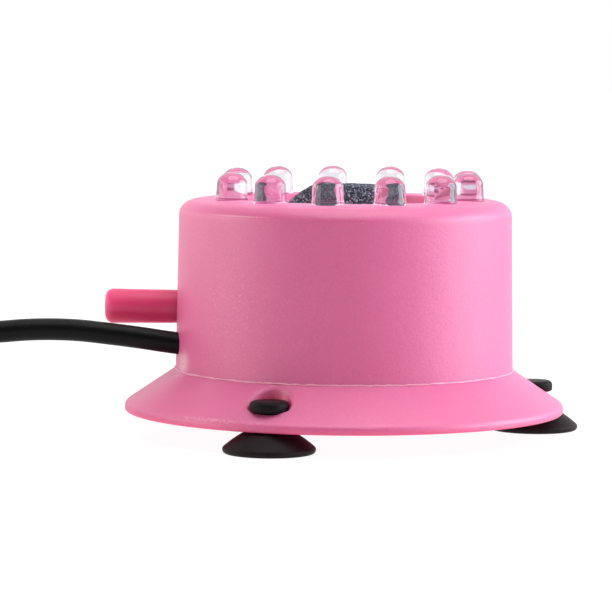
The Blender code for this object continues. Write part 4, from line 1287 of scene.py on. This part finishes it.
def stone_tree(sheet, sizes):
    core = sheet.node("GeometryNodeObjectInfo", {}, {"Object": sizes["Core"]}, out="Geometry")
    position = sheet.node("GeometryNodeInputPosition")
    height = sheet.node("ShaderNodeSeparateXYZ", {}, {"Vector": position}, out="Z")
    open_air = height.maths("GREATER_THAN", height, sizes["Lowest grain"])
    spread = sheet.node("GeometryNodeDistributePointsOnFaces", {"distribute_method": "RANDOM"}, {
        "Mesh": core, "Selection": open_air, "Density": sizes["Grains per square metre"],
        "Seed": sizes["Seed"]})
    grain = sheet.node("GeometryNodeMeshIcoSphere", {}, {
        "Radius": sizes["Grain radius"], "Subdivisions": 1})
    size = sheet.node("FunctionNodeRandomValue", {"data_type": "FLOAT_VECTOR"}, {
        "Min": (0.7, 0.7, 0.6), "Max": (1.45, 1.45, 1.3), "Seed": 3})
    turn = sheet.node("FunctionNodeRandomValue", {"data_type": "FLOAT_VECTOR"}, {
        "Min": (0.0, 0.0, 0.0), "Max": FULL_TURN, "Seed": 4})
    grains = sheet.node("GeometryNodeInstanceOnPoints", {}, {
        "Points": spread, "Instance": grain, "Rotation": turn, "Scale": size})
    shade = sheet.node("FunctionNodeRandomValue", {"data_type": "FLOAT"}, {"Seed": 8}, out=1)
    grains = sheet.node("GeometryNodeStoreNamedAttribute", {"data_type": "FLOAT", "domain": "INSTANCE"}, {
        "Geometry": grains, "Name": "grain_tint", "Value": shade})
    grains = sheet.node("GeometryNodeRealizeInstances", {}, {"Geometry": grains})
    both = sheet.tree.nodes.new("GeometryNodeJoinGeometry")
    sheet.tree.links.new(grains.output, both.inputs[0])
    sheet.tree.links.new(core.output, both.inputs[0])
    return Socket(sheet.tree, both.outputs[0])


stone_core = new_piece("stone_core", turned(stone_profile(), 96))
stone_sizes = {"Core": stone_core, "Lowest grain": RECESS_Z - 0.0002, "Grains per square metre": 9.5e6,
               "Grain radius": GRAIN_R, "Seed": 11}
stone = grown("bubble_stone", stone_tree, stone_sizes, stone_finish)
bpy.data.meshes.remove(stone_core.data)
show(stone, "root", ["air_stone"])

# %% [markdown]
# The suction cups are soft black rubber, moulded in one piece: a mushroom head that snaps through the
# skirt, a neck, and a thin flared dish. Rubber of this kind has a dull skin with a faint bloom. Each cup
# is turned round its own axis and rides on its own body, because a cup can be turned in its hole.

# %% Suction cups
rubber_finish = Finish("black_cup_rubber", Specular_IOR_Level=0.10)
rubber_bloom = rubber_finish.noise(0.0022, 4.0, 0.6)
rubber_finish.dress(
    (sharpen(rubber_bloom, 0.35, 0.75), (0.0090, 0.0055, 0.0065), (0.0180, 0.0112, 0.0130)),
    0.40 + 0.22 * rubber_bloom, (rubber_finish.noise(0.0004, 3.0), 0.00003, 0.5))

CUP_R = 0.0071
CUP_HUB_R = 0.00425
CUP_HUB_Z = 0.00315
CUP_NECK_R = 0.0018
CUP_HEAD_R = 0.0030
CUP_HEAD_Z = 0.00625
CUP_HEAD_TOP = 0.00795
CUP_EDGE = 0.0006
CUP_LEAN = math.radians(53.0)
CUP_BULGE = 0.00008
CUP_DISH = 0.0017
CUP_DISH_R = CUP_R - 0.0010
DISH_CURVE = 1.7
CROWN_EDGE = 0.0007
CUP_ROUND = 0.0004
NECK_ROUND = 0.0003
FLARE_STEPS = 14


def cup_profile():
    points = [(0.0, CUP_HEAD_TOP), (CUP_HEAD_R * 0.5, CUP_HEAD_TOP)]
    points += arc(CUP_HEAD_R - CROWN_EDGE, CUP_HEAD_TOP - CROWN_EDGE, CROWN_EDGE, QUARTER, 0.0, 8)
    points += arc(CUP_HEAD_R - CUP_ROUND, CUP_HEAD_Z + CUP_ROUND, CUP_ROUND, 0.0, -QUARTER, 5)
    points += arc(CUP_NECK_R + NECK_ROUND, CUP_HEAD_Z - NECK_ROUND, NECK_ROUND, QUARTER, math.pi, 3)
    points += arc(CUP_NECK_R + CUP_ROUND, CUP_HUB_Z + CUP_ROUND, CUP_ROUND, math.pi, 3 * QUARTER, 4)
    points += arc(CUP_HUB_R - CUP_ROUND, CUP_HUB_Z - CUP_ROUND, CUP_ROUND, QUARTER, CUP_LEAN, 4)
    edge = arc(CUP_R - CUP_EDGE, CUP_EDGE, CUP_EDGE, CUP_LEAN, -QUARTER, 12)
    hub = Vector(points[-1])
    lip = Vector(edge[0])
    outward = Vector((math.cos(CUP_LEAN), math.sin(CUP_LEAN)))
    for i in range(1, FLARE_STEPS):
        share = i / FLARE_STEPS
        points.append(tuple(hub.lerp(lip, share) + outward * CUP_BULGE * math.sin(math.pi * share)))
    points += edge + [(CUP_DISH_R, 0.0)]
    for i in range(1, FLARE_STEPS):
        share = i / FLARE_STEPS
        points.append((CUP_DISH_R * (1.0 - share), CUP_DISH * (1.0 - (1.0 - share) ** DISH_CURVE)))
    points.append((0.0, CUP_DISH))
    return points


for number, cup_angle in enumerate(CUP_ANGLES, 1):
    cup_shape = moved(turned(cup_profile(), 96), Matrix.Translation(ring_point(CUP_RING_R, cup_angle)))
    cup = new_piece(f"rubber_cup_{number}", cup_shape, rubber_finish)
    show(cup, f"suction_cup_{number}", [f"suction_cup_{number}"])

# %% [markdown]
# Inside the sealed drum the CAD pieces stay as they are: the air chamber, the ring-shaped board with its
# resistors, the two wires, the stop on the cable and the resin. Nobody sees them unless the drum is
# opened, but each gets its own small procedural finish, so that the model can be taken apart.

# %% Finishes inside the drum


def finish_nodes(finish, *nodes):
    for node in nodes:
        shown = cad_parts[node]
        shown.data.materials.clear()
        shown.data.materials.append(finish.material)
    print(", ".join(nodes), "finished")


def inner_finish(name, first, second, size, roughness, depth):
    """Quiet finish of two near colours with a matching bump."""
    made = Finish(name)
    mottle = made.noise(size, 3.0)
    colours = (sharpen(mottle, 0.3, 0.7), first, second)
    made.dress(colours, roughness + 0.15 * mottle, (mottle, depth, 0.5))
    return made


finish_nodes(inner_finish(
    "chamber_plastic", (0.72, 0.70, 0.66), (0.80, 0.78, 0.74), 0.0012, 0.40, 0.00004), "air_chamber")
finish_nodes(inner_finish(
    "board_laminate", (0.020, 0.150, 0.065), (0.035, 0.210, 0.095), 0.0006, 0.32, 0.00003), "led_board")
finish_nodes(inner_finish(
    "resistor_ceramic", (0.012, 0.012, 0.013), (0.035, 0.035, 0.036), 0.0004, 0.45, 0.00002),
    *[f"resistor_{number}" for number in range(1, 5)])
finish_nodes(inner_finish(
    "red_wire_jacket", (0.38, 0.012, 0.012), (0.50, 0.024, 0.020), 0.0010, 0.36, 0.00002),
    "supply_wire_positive")
finish_nodes(inner_finish(
    "black_wire_jacket", (0.009, 0.009, 0.010), (0.017, 0.017, 0.018), 0.0010, 0.36, 0.00002),
    "supply_wire_negative")
finish_nodes(inner_finish(
    "potting_resin", (0.24, 0.165, 0.080), (0.34, 0.250, 0.140), 0.0030, 0.18, 0.00006), "potting_resin")
finish_nodes(rubber_finish, "cable_stop")

# %% [markdown]
# The product stands on a plain white table in soft light: a large softbox on the right, a weaker one on
# the left, a broad light from above, and little from the front, so that the middle of the drum stays
# darker than its sides. A small lamp on the left brings out the grain. The floor is a wide disc that
# glows a little, because a white table in a photograph is nearly as bright as the paper. The world behind
# it is white.

# %% Floor
GLOW_NEAR = 0.93
GLOW_FAR = 1.0
FLOOR_R = 3.0
FLOOR_LOW = -0.00002
floor_finish = Finish("white_table", Roughness=0.65, Specular_IOR_Level=0.2, Emission_Strength=1.0)
floor_mottle = floor_finish.noise(0.05, 2.0)
floor_finish.link("Base Color", floor_finish.blend(floor_mottle, (0.08, 0.08, 0.08), (0.10, 0.10, 0.10)))
floor_glow = sharpen(floor_finish.where.length(), 0.15, 0.80)
floor_finish.link("Emission Color", floor_finish.blend(floor_glow, (GLOW_NEAR,) * 3, (GLOW_FAR,) * 3))
floor_shape = bmesh.new()
bmesh.ops.create_circle(floor_shape, cap_ends=True, segments=96, radius=FLOOR_R)
floor = new_piece("table_top", floor_shape, floor_finish)
floor.location = (0.0, 0.0, FLOOR_LOW)

# %% Lights
TARGET = Vector((0.0, 0.0, 0.018))


def softbox(name, place, width, height, watts, colour=(1.0, 1.0, 1.0)):
    light = bpy.data.lights.new(name, "AREA")
    light.shape = "ELLIPSE"
    light.size = width
    light.size_y = height
    light.energy = watts
    light.color = colour
    box = put(name, light)
    box.location = place
    box.rotation_mode = "QUATERNION"
    box.rotation_quaternion = (TARGET - Vector(place)).to_track_quat("-Z", "Y")


softbox("softbox_right", (0.62, 0.00, 0.22), 0.80, 0.50, 5.2, (0.95, 0.98, 1.07))
softbox("softbox_left", (-0.58, 0.02, 0.12), 1.00, 0.45, 1.55, (1.04, 0.98, 0.90))
softbox("softbox_top", (0.06, -0.12, 0.75), 0.80, 0.70, 4.1)
softbox("sparkle_lamp", (-0.58, -0.08, 0.16), 0.04, 0.04, 0.45, (1.04, 0.98, 0.92))

# %% World: white behind the product, darker towards the front
WORLD_FRONT = 0.06
WORLD_BACK = 1.25
world = bpy.data.worlds.new("studio")
bpy.context.scene.world = world
world.use_nodes = True
studio = Socket(world.node_tree)
compass = studio.node("ShaderNodeTexCoord", out="Generated")
depth = studio.node("ShaderNodeSeparateXYZ", {}, {"Vector": compass}, out="Y")
glow = WORLD_FRONT + (WORLD_BACK - WORLD_FRONT) * sharpen(depth, -0.10, 0.70)
seen = studio.node("ShaderNodeLightPath", out="Is Camera Ray")
strength = seen + (1.0 - seen) * glow
background = world.node_tree.nodes["Background"]
background.inputs["Color"].default_value = (1.0, 1.0, 1.0, 1.0)
world.node_tree.links.new(strength.output, background.inputs["Strength"])
bpy.context.scene.view_settings.view_transform = "Standard"
print("stage lit")
